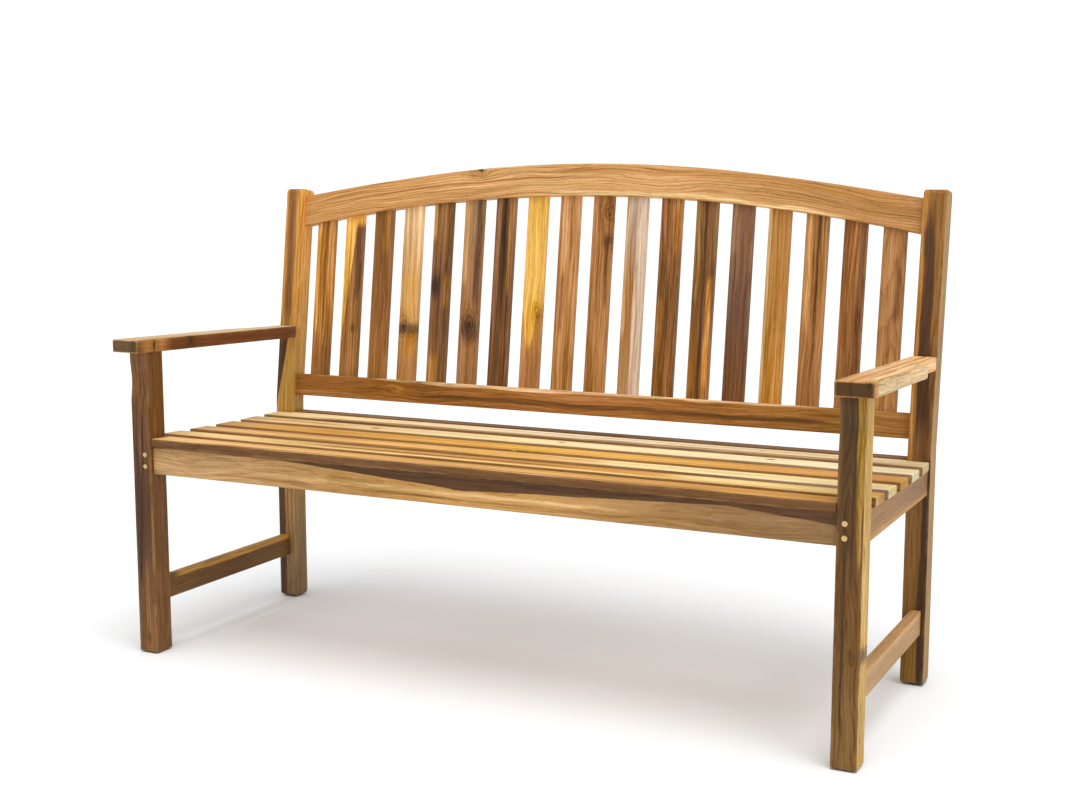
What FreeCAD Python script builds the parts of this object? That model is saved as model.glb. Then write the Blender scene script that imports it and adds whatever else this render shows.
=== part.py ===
import FreeCAD, Part
import math
import os

# Three-seat garden bench in solid hardwood, held together with mortise and tenon joints.
# Frame: X runs along the bench, Y from the front to the back, Z up from the ground.
# Everything is laid out from the front faces of the front legs (Y = 0) and the bench's
# middle (X = 0), and is moved at the end so that the origin is under the bench's middle.
# All sizes are in millimetres.

# ---- Driving sizes ---------------------------------------------------------------------
# Legs and posts
LEG_SPAN = 1500.0          # across the outer faces of the legs
LEG_WIDTH = 45.0           # legs and posts, along X
FRONT_LEG_DEPTH = 48.0     # along Y
POST_FRONT_Y = 488.0       # from the front legs' faces to the posts' faces, below the knee
POST_DEPTH = 46.0          # along Y, measured level
KNEE_Z = 466.0             # height at which the posts start to lean back
KNEE_BLEND = 90.0          # radius that softens the knee
RAKE_DEG = 7.4             # lean of the back from upright
POST_TOP_Z = 947.0         # front top edge of the posts
POST_TOP_ROUND = 9.0       # rounding of the posts' top, front and back
FOOT_CHAMFER = 2.0         # bevel round the bottom of each leg, less than EASE_LEG

# Shallow scoop in the front face of each front leg, under the arm
SCOOP_LOW_Z = 527.0        # its crisp lower edge
SCOOP_DEEP_Z = 566.0       # its deepest place
SCOOP_HIGH_Z = 614.0       # where it runs out under the arm
SCOOP_DEPTH = 4.0

# Arms
ARM_WIDTH = 67.0           # wide front part
ARM_INNER_LIP = 3.0        # inner edge, past the legs' inner faces
ARM_THICKNESS = 26.0
ARM_OVERHANG = 28.5        # in front of the front legs
ARM_UNDERSIDE_Z = 623.5    # at the arm's front end
ARM_FALL_DEG = 1.5         # fall from the front to the back
ARM_CORNER = 5.0           # rounding of the front corners, seen from above
ARM_TAPER_START_Y = 345.0  # where the outer edge starts to run in
ARM_TAPER_END_Y = 434.0    # where the arm has become as wide as the post

# Seat: the slats lie on a shallow dish
SEAT_LOW_Z = 438.0         # top of the slats at the lowest line of the dish
DISH_LOW_Y = 415.0         # where that lowest line is
DISH_RADIUS = 8333.0
SLAT_COUNT = 6
SLAT_WIDTH = 58.5
SLAT_THICKNESS = 16.0
SLAT_FRONT_Y = 1.0         # front edge of the first slat
SLAT_END_INSET = 3.0       # ends of the slats, inside the legs' outer faces
FRONT_SLAT_CLEARANCE = 1.5 # between the first slat's ends and the front legs
REAR_SLAT_CLEARANCE = 2.5  # between the last slat and the rear rail
NOTCH_CLEARANCE = 1.0      # between the last slat's notched corners and the posts

# Rails under the seat
FRAME_LOW_Z = 374.5        # underside of the rails round the seat
APRON_SETBACK = 10.0       # front apron, behind the legs' front faces
APRON_THICKNESS = 25.0
REAR_RAIL_SETBACK = 9.0    # rear rail, behind the posts' front faces
REAR_RAIL_THICKNESS = 25.0
REAR_RAIL_TOP_Z = 441.5
SIDE_RAIL_INSET = 5.0      # outer faces of the side rails, inside the legs' outer faces
SIDE_RAIL_THICKNESS = 25.0
BEARER_THICKNESS = 28.0    # middle bearer under the slats
BEARER_LOW_Z = 376.0

# Stretchers low down between front legs and posts
STRETCHER_LOW_Z = 102.5
STRETCHER_HEIGHT = 47.5
STRETCHER_THICKNESS = 20.0
STRETCHER_INSET = 9.0      # outer faces, inside the legs' outer faces

# Back: sizes are measured in the leaning plane, heights from the knee upwards
BACK_RAIL_THICKNESS = 28.0
BACK_RAIL_SETBACK = 13.0   # behind the posts' front faces
LOWER_RAIL_START = 13.5
LOWER_RAIL_HEIGHT = 49.0
ARCH_TOP = 539.8           # top of the arched rail at the middle
ARCH_RADIUS = 3565.0       # of the arched rail's top edge
ARCH_HEIGHT = 67.0         # of the arched rail, top edge to bottom edge
CROWN_RADIUS = 3100.0      # of the top edge's middle part, a little rounder than its ends
CROWN_WIDTH = 700.0        # of that middle part
BACK_SLAT_COUNT = 18
BACK_SLAT_WIDTH = 45.0
BACK_SLAT_THICKNESS = 15.0
BACK_SLAT_RECESS = 8.0     # behind the back rails' front faces

# Joints
TENON_THICKNESS = 10.0
TENON_SHOULDER = 7.0       # top and bottom shoulder of a rail's tenon
LONG_TENON = 27.0          # front apron into the front legs, and back rails into the posts
SHORT_TENON = 20.0         # rear rail into the posts
SIDE_TENON = 14.0          # side rails and stretchers into legs and posts
BEARER_TENON = 10.0
SLAT_TENON = 12.0          # back slats into their rails
SLAT_TENON_SHOULDER = 3.0
MORTISE_END_GAP = 1.0      # a mortise is this much deeper than its tenon
LEG_TENON_WIDTH = 25.0     # stub on top of a front leg, into the arm
LEG_TENON_DEPTH = 28.0
LEG_TENON_HEIGHT = 14.0

# Pegs, dowels, screws and glides
PEG_RADIUS = 5.0
PEG_LENGTH = 36.0
PEG_INSET = 14.0           # from the leg's inner face
PEG_HIGH_DROP = 17.0       # from the apron's top edge down to the upper peg
PEG_SPACING = 24.0
DOWEL_RADIUS = 5.0
DOWEL_LENGTH = 60.0
DOWEL_SPACING = 22.0
ROUND_CLEARANCE = 0.1      # round holes are this much wider in radius than what is in them
SCREW_RADIUS = 2.2
SCREW_HEAD_RADIUS = 4.2
SCREW_HEAD_HEIGHT = 3.0
SCREW_LENGTH = 50.0        # under the head
SCREW_BITE = 11.0          # how far a screw runs into a slat
COUNTERBORE_RADIUS = 5.0
APRON_SCREW_COUNT = 4
APRON_SCREW_SPACING = 300.0
GLIDE_RADIUS = 15.0
GLIDE_HEIGHT = 3.0
GLIDE_STEM_RADIUS = 3.0
GLIDE_STEM_LENGTH = 18.0

# Eased edges
EASE_LEG = 2.5
EASE_RAIL = 2.0
BEVEL_ARCH = 1.5
EASE_ARM = 3.0
EASE_SLAT = 2.0

# ---- Derived places --------------------------------------------------------------------
HALF_SPAN = LEG_SPAN / 2
INNER_X = HALF_SPAN - LEG_WIDTH
LEG_MIDDLE_X = HALF_SPAN - LEG_WIDTH / 2
RAKE = math.radians(RAKE_DEG)
FALL = math.radians(ARM_FALL_DEG)
SLAT_END_X = HALF_SPAN - SLAT_END_INSET
RAIL_BACK_Y = POST_FRONT_Y + BACK_RAIL_SETBACK
REAR_RAIL_Y = POST_FRONT_Y + REAR_RAIL_SETBACK
SLAT_PITCH = (REAR_RAIL_Y - REAR_SLAT_CLEARANCE - SLAT_WIDTH - SLAT_FRONT_Y) / (SLAT_COUNT - 1)
BACK_SLAT_GAP = (2 * INNER_X - BACK_SLAT_COUNT * BACK_SLAT_WIDTH) / (BACK_SLAT_COUNT + 1)
BACK_SLAT_PITCH = BACK_SLAT_WIDTH + BACK_SLAT_GAP
SIDE_RAIL_X = HALF_SPAN - SIDE_RAIL_INSET - SIDE_RAIL_THICKNESS / 2
STRETCHER_X = HALF_SPAN - STRETCHER_INSET - STRETCHER_THICKNESS / 2
APRON_BACK_Y = APRON_SETBACK + APRON_THICKNESS
APRON_MIDDLE_Y = APRON_SETBACK + APRON_THICKNESS / 2
LOWER_RAIL_LOW = KNEE_Z + LOWER_RAIL_START
LOWER_RAIL_TOP = LOWER_RAIL_LOW + LOWER_RAIL_HEIGHT
ARCH_CENTRE = KNEE_Z + ARCH_TOP - ARCH_RADIUS
FAR = 3000.0
SIDES = {"left": -1, "right": 1}


def vec(x, y, z):
    return FreeCAD.Vector(x, y, z)


def box(x0, x1, y0, y1, z0, z1):
    """Box between two opposite corners, given as ranges."""
    low = vec(min(x0, x1), min(y0, y1), min(z0, z1))
    return Part.makeBox(abs(x1 - x0), abs(y1 - y0), abs(z1 - z0), low)


def rod(radius, length, start, direction):
    return Part.makeCylinder(radius, length, start, direction)


def side_prism(outline, x0, x1):
    """Outline of (y, z) points, run along X from x0 to x1."""
    points = [vec(x0, y, z) for y, z in outline]
    face = Part.Face(Part.makePolygon(points + points[:1]))
    return face.extrude(vec(x1 - x0, 0, 0))


def edges_where(shape, wanted):
    """Edges for which wanted(start, end) is true."""
    edges = []
    for edge in shape.Edges:
        if len(edge.Vertexes) == 2:
            start, end = (vertex.Point for vertex in edge.Vertexes)
            if wanted(start, end):
                edges.append(edge)
    return edges


def ease(shape, radius, wanted):
    """Rounds the edges for which wanted(start, end) is true."""
    return shape.makeFillet(radius, edges_where(shape, wanted))


def same(a, b):
    return abs(a - b) < 1e-4


def runs_along(axis):
    """Test for edges that lie along one axis: 0, 1 or 2 for X, Y or Z."""
    others = [index for index in range(3) if index != axis]

    def wanted(start, end):
        return all(same(start[index], end[index]) for index in others)
    return wanted


def lean(shape):
    """Turns a piece of the back, built upright, into the leaning plane."""
    leaning = shape.copy()
    leaning.rotate(vec(0, POST_FRONT_Y, KNEE_Z), vec(1, 0, 0), -RAKE_DEG)
    return leaning


def mirrored(shape, side):
    """Pieces are drawn on the right (side 1); the left one is its mirror image."""
    if side > 0:
        return shape
    return shape.mirror(vec(0, 0, 0), vec(1, 0, 0))


def group(solids):
    return Part.makeCompound(solids)


# ---- Seat dish -------------------------------------------------------------------------
def slat_middle_y(index):
    return SLAT_FRONT_Y + SLAT_WIDTH / 2 + index * SLAT_PITCH


def dish_z(y):
    """Height of the slats' underside on the dish."""
    return SEAT_LOW_Z - SLAT_THICKNESS + (y - DISH_LOW_Y) ** 2 / (2 * DISH_RADIUS)


def dish_slope(y):
    return (y - DISH_LOW_Y) / DISH_RADIUS


def bed_z(index, y):
    """Height of the flat bed of one slat, which touches the dish at the slat's middle."""
    middle = slat_middle_y(index)
    return dish_z(middle) + dish_slope(middle) * (y - middle)


def above_beds():
    """Everything above the slats' beds: it trims each rail that carries slats."""
    first_y = -ARM_OVERHANG
    last_y = slat_middle_y(SLAT_COUNT)
    outline = [(first_y, bed_z(0, first_y))]
    for index in range(SLAT_COUNT - 1):
        meet_y = (slat_middle_y(index) + slat_middle_y(index + 1)) / 2
        outline.append((meet_y, bed_z(index, meet_y)))
    outline.append((last_y, bed_z(SLAT_COUNT - 1, last_y)))
    outline += [(last_y, FAR), (first_y, FAR)]
    return side_prism(outline, -FAR, FAR)


# ---- Screws ----------------------------------------------------------------------------
def screw(x, y, index):
    """Screw driven upwards into slat number index."""
    seat_z = bed_z(index, y) + SCREW_BITE - SCREW_LENGTH
    shank = rod(SCREW_RADIUS, SCREW_LENGTH, vec(x, y, seat_z), vec(0, 0, 1))
    head_z = seat_z - SCREW_HEAD_HEIGHT
    head = rod(SCREW_HEAD_RADIUS, SCREW_HEAD_HEIGHT, vec(x, y, head_z), vec(0, 0, 1))
    return head.fuse(shank).removeSplitter()


def screw_hole(x, y, index):
    """Clearance hole and counterbore for that screw, open at the bottom."""
    seat_z = bed_z(index, y) + SCREW_BITE - SCREW_LENGTH
    radius = SCREW_RADIUS + ROUND_CLEARANCE
    length = SCREW_LENGTH + ROUND_CLEARANCE
    hole = rod(radius, length, vec(x, y, seat_z), vec(0, 0, 1))
    wide = rod(COUNTERBORE_RADIUS, seat_z, vec(x, y, 0), vec(0, 0, 1))
    return hole.fuse(wide)


def slat_screw_spots(x):
    """Places of the screws in one line across slats 2 and on."""
    return [(x, slat_middle_y(index), index) for index in range(1, SLAT_COUNT)]


def apron_screw_spots():
    half = (APRON_SCREW_COUNT - 1) / 2
    places = [(step - half) * APRON_SCREW_SPACING for step in range(APRON_SCREW_COUNT)]
    return [(x, APRON_MIDDLE_Y, 0) for x in places]


def all_screw_spots():
    spots = apron_screw_spots() + slat_screw_spots(0.0)
    for side in SIDES.values():
        spots += slat_screw_spots(side * SIDE_RAIL_X)
    return spots


# ---- Tenons: each is also cut, a little deeper, from the piece that takes it -----------
def apron_tenon(extra=0.0):
    high_z = bed_z(0, APRON_MIDDLE_Y) - TENON_SHOULDER * 1.5
    return box(INNER_X, INNER_X + LONG_TENON + extra,
               APRON_MIDDLE_Y - TENON_THICKNESS / 2, APRON_MIDDLE_Y + TENON_THICKNESS / 2,
               FRAME_LOW_Z + TENON_SHOULDER, high_z)


def rear_rail_tenon(extra=0.0):
    middle_y = REAR_RAIL_Y + REAR_RAIL_THICKNESS / 2
    return box(INNER_X, INNER_X + SHORT_TENON + extra,
               middle_y - TENON_THICKNESS / 2, middle_y + TENON_THICKNESS / 2,
               FRAME_LOW_Z + TENON_SHOULDER, REAR_RAIL_TOP_Z - TENON_SHOULDER)


def side_tenons(middle_x, low_z, high_z, extra=0.0):
    """Tenons at both ends of a rail that runs from a front leg to a post."""
    x0 = middle_x - TENON_THICKNESS / 2
    x1 = middle_x + TENON_THICKNESS / 2
    front = box(x0, x1, FRONT_LEG_DEPTH - SIDE_TENON - extra, FRONT_LEG_DEPTH, low_z, high_z)
    back = box(x0, x1, POST_FRONT_Y, POST_FRONT_Y + SIDE_TENON + extra, low_z, high_z)
    return [front, back]


def side_rail_tenons(extra=0.0):
    high_z = SEAT_LOW_Z - SLAT_THICKNESS - TENON_SHOULDER
    return side_tenons(SIDE_RAIL_X, FRAME_LOW_Z + TENON_SHOULDER, high_z, extra)


def stretcher_tenons(extra=0.0):
    high_z = STRETCHER_LOW_Z + STRETCHER_HEIGHT - TENON_SHOULDER
    return side_tenons(STRETCHER_X, STRETCHER_LOW_Z + TENON_SHOULDER, high_z, extra)


def back_rail_tenon(low, high, extra=0.0):
    middle_y = RAIL_BACK_Y + BACK_RAIL_THICKNESS / 2
    return box(INNER_X, INNER_X + LONG_TENON + extra,
               middle_y - TENON_THICKNESS / 2, middle_y + TENON_THICKNESS / 2,
               low + TENON_SHOULDER, high - TENON_SHOULDER)


def lower_rail_tenon(extra=0.0):
    return back_rail_tenon(LOWER_RAIL_LOW, LOWER_RAIL_TOP, extra)


def arch_tenon(extra=0.0):
    return back_rail_tenon(arch_z(INNER_X, ARCH_HEIGHT), arch_z(INNER_X, 0), extra)


def leg_tenon(extra=0.0):
    """Stub on top of a front leg, square to the arm's underside."""
    middle_y = FRONT_LEG_DEPTH / 2
    stub = box(LEG_MIDDLE_X - LEG_TENON_WIDTH / 2, LEG_MIDDLE_X + LEG_TENON_WIDTH / 2,
               middle_y - LEG_TENON_DEPTH / 2, middle_y + LEG_TENON_DEPTH / 2,
               arm_underside_z(0), arm_underside_z(0) + LEG_TENON_HEIGHT + extra)
    stub.rotate(vec(0, 0, arm_underside_z(0)), vec(1, 0, 0), -ARM_FALL_DEG)
    return stub


def bearer_tenons(extra=0.0):
    x = TENON_THICKNESS / 2
    low_z = BEARER_LOW_Z + TENON_SHOULDER
    high_z = SEAT_LOW_Z - SLAT_THICKNESS - TENON_SHOULDER
    length = BEARER_TENON + extra
    front = box(-x, x, APRON_BACK_Y - length, APRON_BACK_Y, low_z, high_z)
    back = box(-x, x, REAR_RAIL_Y, REAR_RAIL_Y + length, low_z, high_z)
    return [front, back]


# ---- Arms ------------------------------------------------------------------------------
def arm_underside_z(y):
    return ARM_UNDERSIDE_Z - math.tan(FALL) * (y + ARM_OVERHANG)


def post_face_y(z):
    """Y of a post's front face at a height above the knee."""
    return POST_FRONT_Y + math.tan(RAKE) * (z - KNEE_Z)


def behind_post_face():
    """Everything behind the leaning plane of the posts' front faces."""
    return lean(box(-FAR, FAR, POST_FRONT_Y, POST_FRONT_Y + FAR, KNEE_Z - 100, FAR))


def arm_dowels(extra_radius=0.0, extra_length=0.0):
    """Two dowels on the right that hold the arm's back end to the post."""
    middle_z = arm_underside_z(POST_FRONT_Y) + ARM_THICKNESS / 2
    length = DOWEL_LENGTH + 2 * extra_length
    dowels = []
    for step in (-0.5, 0.5):
        x = LEG_MIDDLE_X + step * DOWEL_SPACING
        start = vec(x, post_face_y(middle_z) - length / 2, middle_z)
        dowels.append(rod(DOWEL_RADIUS + extra_radius, length, start, vec(0, 1, 0)))
    return dowels


def arm_outline():
    """Arm seen from above, as a face at the underside's front height."""
    front_y = -ARM_OVERHANG
    back_y = POST_FRONT_Y + 2 * POST_DEPTH
    inner_x = INNER_X - ARM_INNER_LIP
    outer_x = inner_x + ARM_WIDTH
    z = ARM_UNDERSIDE_Z
    bend = ARM_CORNER * (1 - math.sqrt(0.5))
    lines = [
        Part.LineSegment(vec(inner_x + ARM_CORNER, front_y, z), vec(outer_x - ARM_CORNER, front_y, z)),
        Part.Arc(vec(outer_x - ARM_CORNER, front_y, z), vec(outer_x - bend, front_y + bend, z),
                 vec(outer_x, front_y + ARM_CORNER, z)),
        Part.LineSegment(vec(outer_x, front_y + ARM_CORNER, z), vec(outer_x, ARM_TAPER_START_Y, z)),
        Part.LineSegment(vec(outer_x, ARM_TAPER_START_Y, z), vec(HALF_SPAN, ARM_TAPER_END_Y, z)),
        Part.LineSegment(vec(HALF_SPAN, ARM_TAPER_END_Y, z), vec(HALF_SPAN, back_y, z)),
        Part.LineSegment(vec(HALF_SPAN, back_y, z), vec(inner_x, back_y, z)),
        Part.LineSegment(vec(inner_x, back_y, z), vec(inner_x, front_y + ARM_CORNER, z)),
        Part.Arc(vec(inner_x, front_y + ARM_CORNER, z), vec(inner_x + bend, front_y + bend, z),
                 vec(inner_x + ARM_CORNER, front_y, z)),
    ]
    return Part.Face(Part.Wire([line.toShape() for line in lines]))


def arm(side):
    solid = arm_outline().extrude(vec(0, 0, ARM_THICKNESS))
    back_y = POST_FRONT_Y + 2 * POST_DEPTH

    def rim(start, end):
        return same(start.z, end.z) and not (same(start.y, back_y) and same(end.y, back_y))
    solid = ease(solid, EASE_ARM, rim)
    solid.rotate(vec(0, -ARM_OVERHANG, ARM_UNDERSIDE_Z), vec(1, 0, 0), -ARM_FALL_DEG)
    solid = solid.cut(behind_post_face())
    solid = solid.cut([leg_tenon(MORTISE_END_GAP)] + arm_dowels(ROUND_CLEARANCE, MORTISE_END_GAP))
    return mirrored(solid, side)


# ---- Legs and posts --------------------------------------------------------------------
def feet_bevelled(shape):
    """Bevels the four edges round the bottom of a leg."""
    edges = []
    for edge in shape.Edges:
        if all(same(vertex.Z, GLIDE_HEIGHT) for vertex in edge.Vertexes):
            edges.append(edge)
    return shape.makeChamfer(FOOT_CHAMFER, edges)


def foot_place(back):
    y = FRONT_LEG_DEPTH / 2
    if back:
        y = POST_FRONT_Y + POST_DEPTH / 2
    return vec(LEG_MIDDLE_X, y, 0)


def glide_hole(back):
    start = foot_place(back) + vec(0, 0, GLIDE_HEIGHT)
    length = GLIDE_STEM_LENGTH + MORTISE_END_GAP
    return rod(GLIDE_STEM_RADIUS + ROUND_CLEARANCE, length, start, vec(0, 0, 1))


def foot_glides():
    """Plastic glide with a ribbed stem under each leg and post."""
    glides = []
    for back in (False, True):
        place = foot_place(back)
        pad = rod(GLIDE_RADIUS, GLIDE_HEIGHT, place, vec(0, 0, 1))
        stem = rod(GLIDE_STEM_RADIUS, GLIDE_HEIGHT + GLIDE_STEM_LENGTH, place, vec(0, 0, 1))
        glide = pad.fuse(stem).removeSplitter()
        glides += [mirrored(glide, side) for side in SIDES.values()]
    return group(glides)


def scoop():
    """Hollow in the leg's front face: steep at its lower edge, running out at the top."""
    x = INNER_X - LEG_WIDTH
    low = vec(x, 0, SCOOP_LOW_Z)
    deep = vec(x, SCOOP_DEPTH, SCOOP_DEEP_Z)
    high = vec(x, 0, SCOOP_HIGH_Z)
    curve = Part.BSplineCurve()
    curve.interpolate([low, vec(x, SCOOP_DEPTH * 0.72, (SCOOP_LOW_Z * 2 + SCOOP_DEEP_Z) / 3), deep,
                       vec(x, SCOOP_DEPTH * 0.5, (SCOOP_DEEP_Z + SCOOP_HIGH_Z) / 2), high])
    front = Part.makePolygon([high, high + vec(0, -5, 0), low + vec(0, -5, 0), low])
    face = Part.Face(Part.Wire([curve.toShape()] + front.Edges))
    return face.extrude(vec(3 * LEG_WIDTH, 0, 0))


def peg_places():
    """Middles of the pegs on the right leg's front face."""
    high_z = bed_z(0, APRON_SETBACK) - PEG_HIGH_DROP
    x = INNER_X + PEG_INSET
    return [vec(x, 0, high_z), vec(x, 0, high_z - PEG_SPACING)]


def peg_holes():
    radius = PEG_RADIUS + ROUND_CLEARANCE
    length = PEG_LENGTH + MORTISE_END_GAP
    return [rod(radius, length, place, vec(0, 1, 0)) for place in peg_places()]


def apron_pegs():
    pegs = []
    for side in SIDES.values():
        for place in peg_places():
            pegs.append(mirrored(rod(PEG_RADIUS, PEG_LENGTH, place, vec(0, 1, 0)), side))
    return group(pegs)


def front_leg(side):
    outline = [(0, GLIDE_HEIGHT), (FRONT_LEG_DEPTH, GLIDE_HEIGHT),
               (FRONT_LEG_DEPTH, arm_underside_z(FRONT_LEG_DEPTH)), (0, arm_underside_z(0))]
    solid = ease(side_prism(outline, INNER_X, HALF_SPAN), EASE_LEG, runs_along(2))
    solid = feet_bevelled(solid).cut(scoop())
    solid = solid.fuse(leg_tenon()).removeSplitter()
    gap = MORTISE_END_GAP
    cuts = [apron_tenon(gap), side_rail_tenons(gap)[0], stretcher_tenons(gap)[0], glide_hole(False)]
    return mirrored(solid.cut(cuts + peg_holes()), side)


def rear_post(side):
    """Post with an upright foot and a leaning top, cut square to its lean at the top."""
    run = (POST_TOP_Z - KNEE_Z) / math.cos(RAKE)
    depth = POST_DEPTH * math.cos(RAKE)
    front_top = (POST_FRONT_Y + run * math.sin(RAKE), POST_TOP_Z)
    back_top = (front_top[0] + depth * math.cos(RAKE), front_top[1] - depth * math.sin(RAKE))
    back_y = POST_FRONT_Y + POST_DEPTH
    outline = [(POST_FRONT_Y, GLIDE_HEIGHT), (POST_FRONT_Y, KNEE_Z), front_top,
               back_top, (back_y, KNEE_Z), (back_y, GLIDE_HEIGHT)]
    solid = side_prism(outline, INNER_X, HALF_SPAN)
    across = runs_along(0)
    solid = ease(solid, KNEE_BLEND, lambda a, b: across(a, b) and same(a.z, KNEE_Z))
    solid = ease(solid, POST_TOP_ROUND, lambda a, b: across(a, b) and a.z > back_top[1] - 1)

    def long_edge(start, end):
        level = same(start.z, GLIDE_HEIGHT) and same(end.z, GLIDE_HEIGHT)
        on_side = same(start.x, end.x) and (same(start.x, INNER_X) or same(start.x, HALF_SPAN))
        return on_side and not level
    solid = feet_bevelled(ease(solid, EASE_LEG, long_edge))
    gap = MORTISE_END_GAP
    cuts = [rear_rail_tenon(gap), side_rail_tenons(gap)[1], stretcher_tenons(gap)[1], glide_hole(True),
            lean(lower_rail_tenon(gap)), lean(arch_tenon(gap))]
    return mirrored(solid.cut(cuts + arm_dowels(ROUND_CLEARANCE, MORTISE_END_GAP)), side)


# ---- Rails -----------------------------------------------------------------------------
def both_ends(tenon):
    return [tenon, mirrored(tenon, -1)]


def front_apron():
    high_z = bed_z(0, 0)
    solid = box(-INNER_X, INNER_X, APRON_SETBACK, APRON_BACK_Y, FRAME_LOW_Z, high_z)
    solid = ease(solid, EASE_RAIL, lambda a, b: runs_along(0)(a, b) and same(a.z, FRAME_LOW_Z))
    solid = solid.cut(above_beds()).fuse(both_ends(apron_tenon())).removeSplitter()
    holes = [screw_hole(*spot) for spot in apron_screw_spots()]
    holes += peg_holes() + [mirrored(hole, -1) for hole in peg_holes()]
    return solid.cut(holes + bearer_tenons(MORTISE_END_GAP)[:1])


def rear_rail():
    solid = box(-INNER_X, INNER_X, REAR_RAIL_Y, REAR_RAIL_Y + REAR_RAIL_THICKNESS,
                FRAME_LOW_Z, REAR_RAIL_TOP_Z)
    solid = ease(solid, EASE_RAIL, runs_along(0))
    solid = solid.fuse(both_ends(rear_rail_tenon())).removeSplitter()
    return solid.cut(bearer_tenons(MORTISE_END_GAP)[1:])


def side_rail(side):
    """Rail from front leg to post, its top edge trimmed to the slats' beds."""
    half = SIDE_RAIL_THICKNESS / 2
    solid = box(SIDE_RAIL_X - half, SIDE_RAIL_X + half, FRONT_LEG_DEPTH, POST_FRONT_Y,
                FRAME_LOW_Z, bed_z(0, 0))
    solid = ease(solid, EASE_RAIL, lambda a, b: runs_along(1)(a, b) and same(a.z, FRAME_LOW_Z))
    solid = solid.cut(above_beds()).fuse(side_rail_tenons()).removeSplitter()
    return mirrored(solid.cut([screw_hole(*spot) for spot in slat_screw_spots(SIDE_RAIL_X)]), side)


def stretcher(side):
    half = STRETCHER_THICKNESS / 2
    solid = box(STRETCHER_X - half, STRETCHER_X + half, FRONT_LEG_DEPTH, POST_FRONT_Y,
                STRETCHER_LOW_Z, STRETCHER_LOW_Z + STRETCHER_HEIGHT)
    solid = ease(solid, EASE_RAIL, runs_along(1))
    return mirrored(solid.fuse(stretcher_tenons()).removeSplitter(), side)


def middle_bearer():
    half = BEARER_THICKNESS / 2
    solid = box(-half, half, APRON_BACK_Y, REAR_RAIL_Y, BEARER_LOW_Z, bed_z(0, 0))
    solid = solid.cut(above_beds()).fuse(bearer_tenons()).removeSplitter()
    return solid.cut([screw_hole(*spot) for spot in slat_screw_spots(0.0)])


# ---- Seat slats and their screws -------------------------------------------------------
def post_room(side):
    """Room that a slat leaves for a post."""
    x = side * (INNER_X - NOTCH_CLEARANCE)
    return box(x, side * FAR, POST_FRONT_Y - NOTCH_CLEARANCE, FAR, 0, FAR)


def seat_slat(index):
    """Slat number index, from the front, lying flat on its bed."""
    end_x = SLAT_END_X
    if index == 0:
        end_x = INNER_X - FRONT_SLAT_CLEARANCE
    middle_y = slat_middle_y(index)
    base_z = dish_z(middle_y)
    slat = box(-end_x, end_x, middle_y - SLAT_WIDTH / 2, middle_y + SLAT_WIDTH / 2,
               base_z, base_z + SLAT_THICKNESS)
    slat = slat.makeFillet(EASE_SLAT, slat.Edges)
    tilt = math.degrees(math.atan(dish_slope(middle_y)))
    slat.rotate(vec(0, middle_y, base_z), vec(1, 0, 0), tilt)
    slat = slat.cut([post_room(side) for side in SIDES.values()])
    return slat.cut([screw_hole(*spot) for spot in all_screw_spots() if spot[2] == index])


def screws(spots):
    return group([screw(*spot) for spot in spots])


# ---- Back ------------------------------------------------------------------------------
def arch_z(x, drop):
    """Height of the arched rail's top edge at x, or of a line that lies drop under it."""
    return ARCH_CENTRE + math.sqrt((ARCH_RADIUS - drop) ** 2 - x ** 2)


def arc_on(start, along, end):
    """Arc that leaves start in the direction along and runs to end."""
    chord = end - start
    normal = vec(along.z, 0, -along.x)
    radius = chord.Length ** 2 / (2 * chord.dot(normal))
    centre = start + normal * radius
    outward = (start + end) * 0.5 - centre
    return Part.Arc(start, centre + outward * (radius / outward.Length), end)


def crest(half_width, y):
    """Top edge of the arched rail from left to right: a round crown between two flatter arcs."""
    top = vec(0, y, arch_z(0, 0))
    half = CROWN_WIDTH / 2
    drop = CROWN_RADIUS - math.sqrt(CROWN_RADIUS ** 2 - half ** 2)
    left = vec(-half, y, top.z - drop)
    right = vec(half, y, top.z - drop)
    end = vec(half_width, y, arch_z(half_width, 0))
    along = vec(CROWN_RADIUS - drop, 0, -half) * (1 / CROWN_RADIUS)
    right_arc = arc_on(right, along, end).toShape()
    left_arc = right_arc.mirror(vec(0, 0, 0), vec(1, 0, 0))
    return [left_arc, Part.Arc(left, top, right).toShape(), right_arc]


def arch_line(drop, half_width, y):
    """Line that follows the arch, drop under its top edge."""
    return [Part.Arc(*[vec(x, y, arch_z(x, drop)) for x in (-half_width, 0, half_width)]).toShape()]


def upright_band(top, bottom, depth):
    """Band between two lines that both run from left to right, depth thick along Y."""
    ends = []
    for x_of in (min, max):
        high = x_of((vertex.Point for edge in top for vertex in edge.Vertexes), key=lambda p: p.x)
        low = x_of((vertex.Point for edge in bottom for vertex in edge.Vertexes), key=lambda p: p.x)
        ends.append(Part.LineSegment(high, low).toShape())
    outline = Part.Wire(Part.__sortEdges__(top + bottom + ends))
    return Part.Face(outline).extrude(vec(0, depth, 0))


def back_slat_places():
    half = (BACK_SLAT_COUNT - 1) / 2
    return [(step - half) * BACK_SLAT_PITCH for step in range(BACK_SLAT_COUNT)]


def slat_tongue(x, extra=0.0):
    """Core of a back slat, which runs through to the bottoms of its mortises."""
    half = BACK_SLAT_WIDTH / 2 - SLAT_TENON_SHOULDER
    y0 = RAIL_BACK_Y + BACK_SLAT_RECESS + SLAT_TENON_SHOULDER
    y1 = RAIL_BACK_Y + BACK_SLAT_RECESS + BACK_SLAT_THICKNESS - SLAT_TENON_SHOULDER
    low = LOWER_RAIL_TOP - SLAT_TENON - extra
    high = arch_z(x, ARCH_HEIGHT) + SLAT_TENON + extra
    return box(x - half, x + half, y0, y1, low, high)


def slat_mortises():
    return [slat_tongue(x, MORTISE_END_GAP) for x in back_slat_places()]


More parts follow.
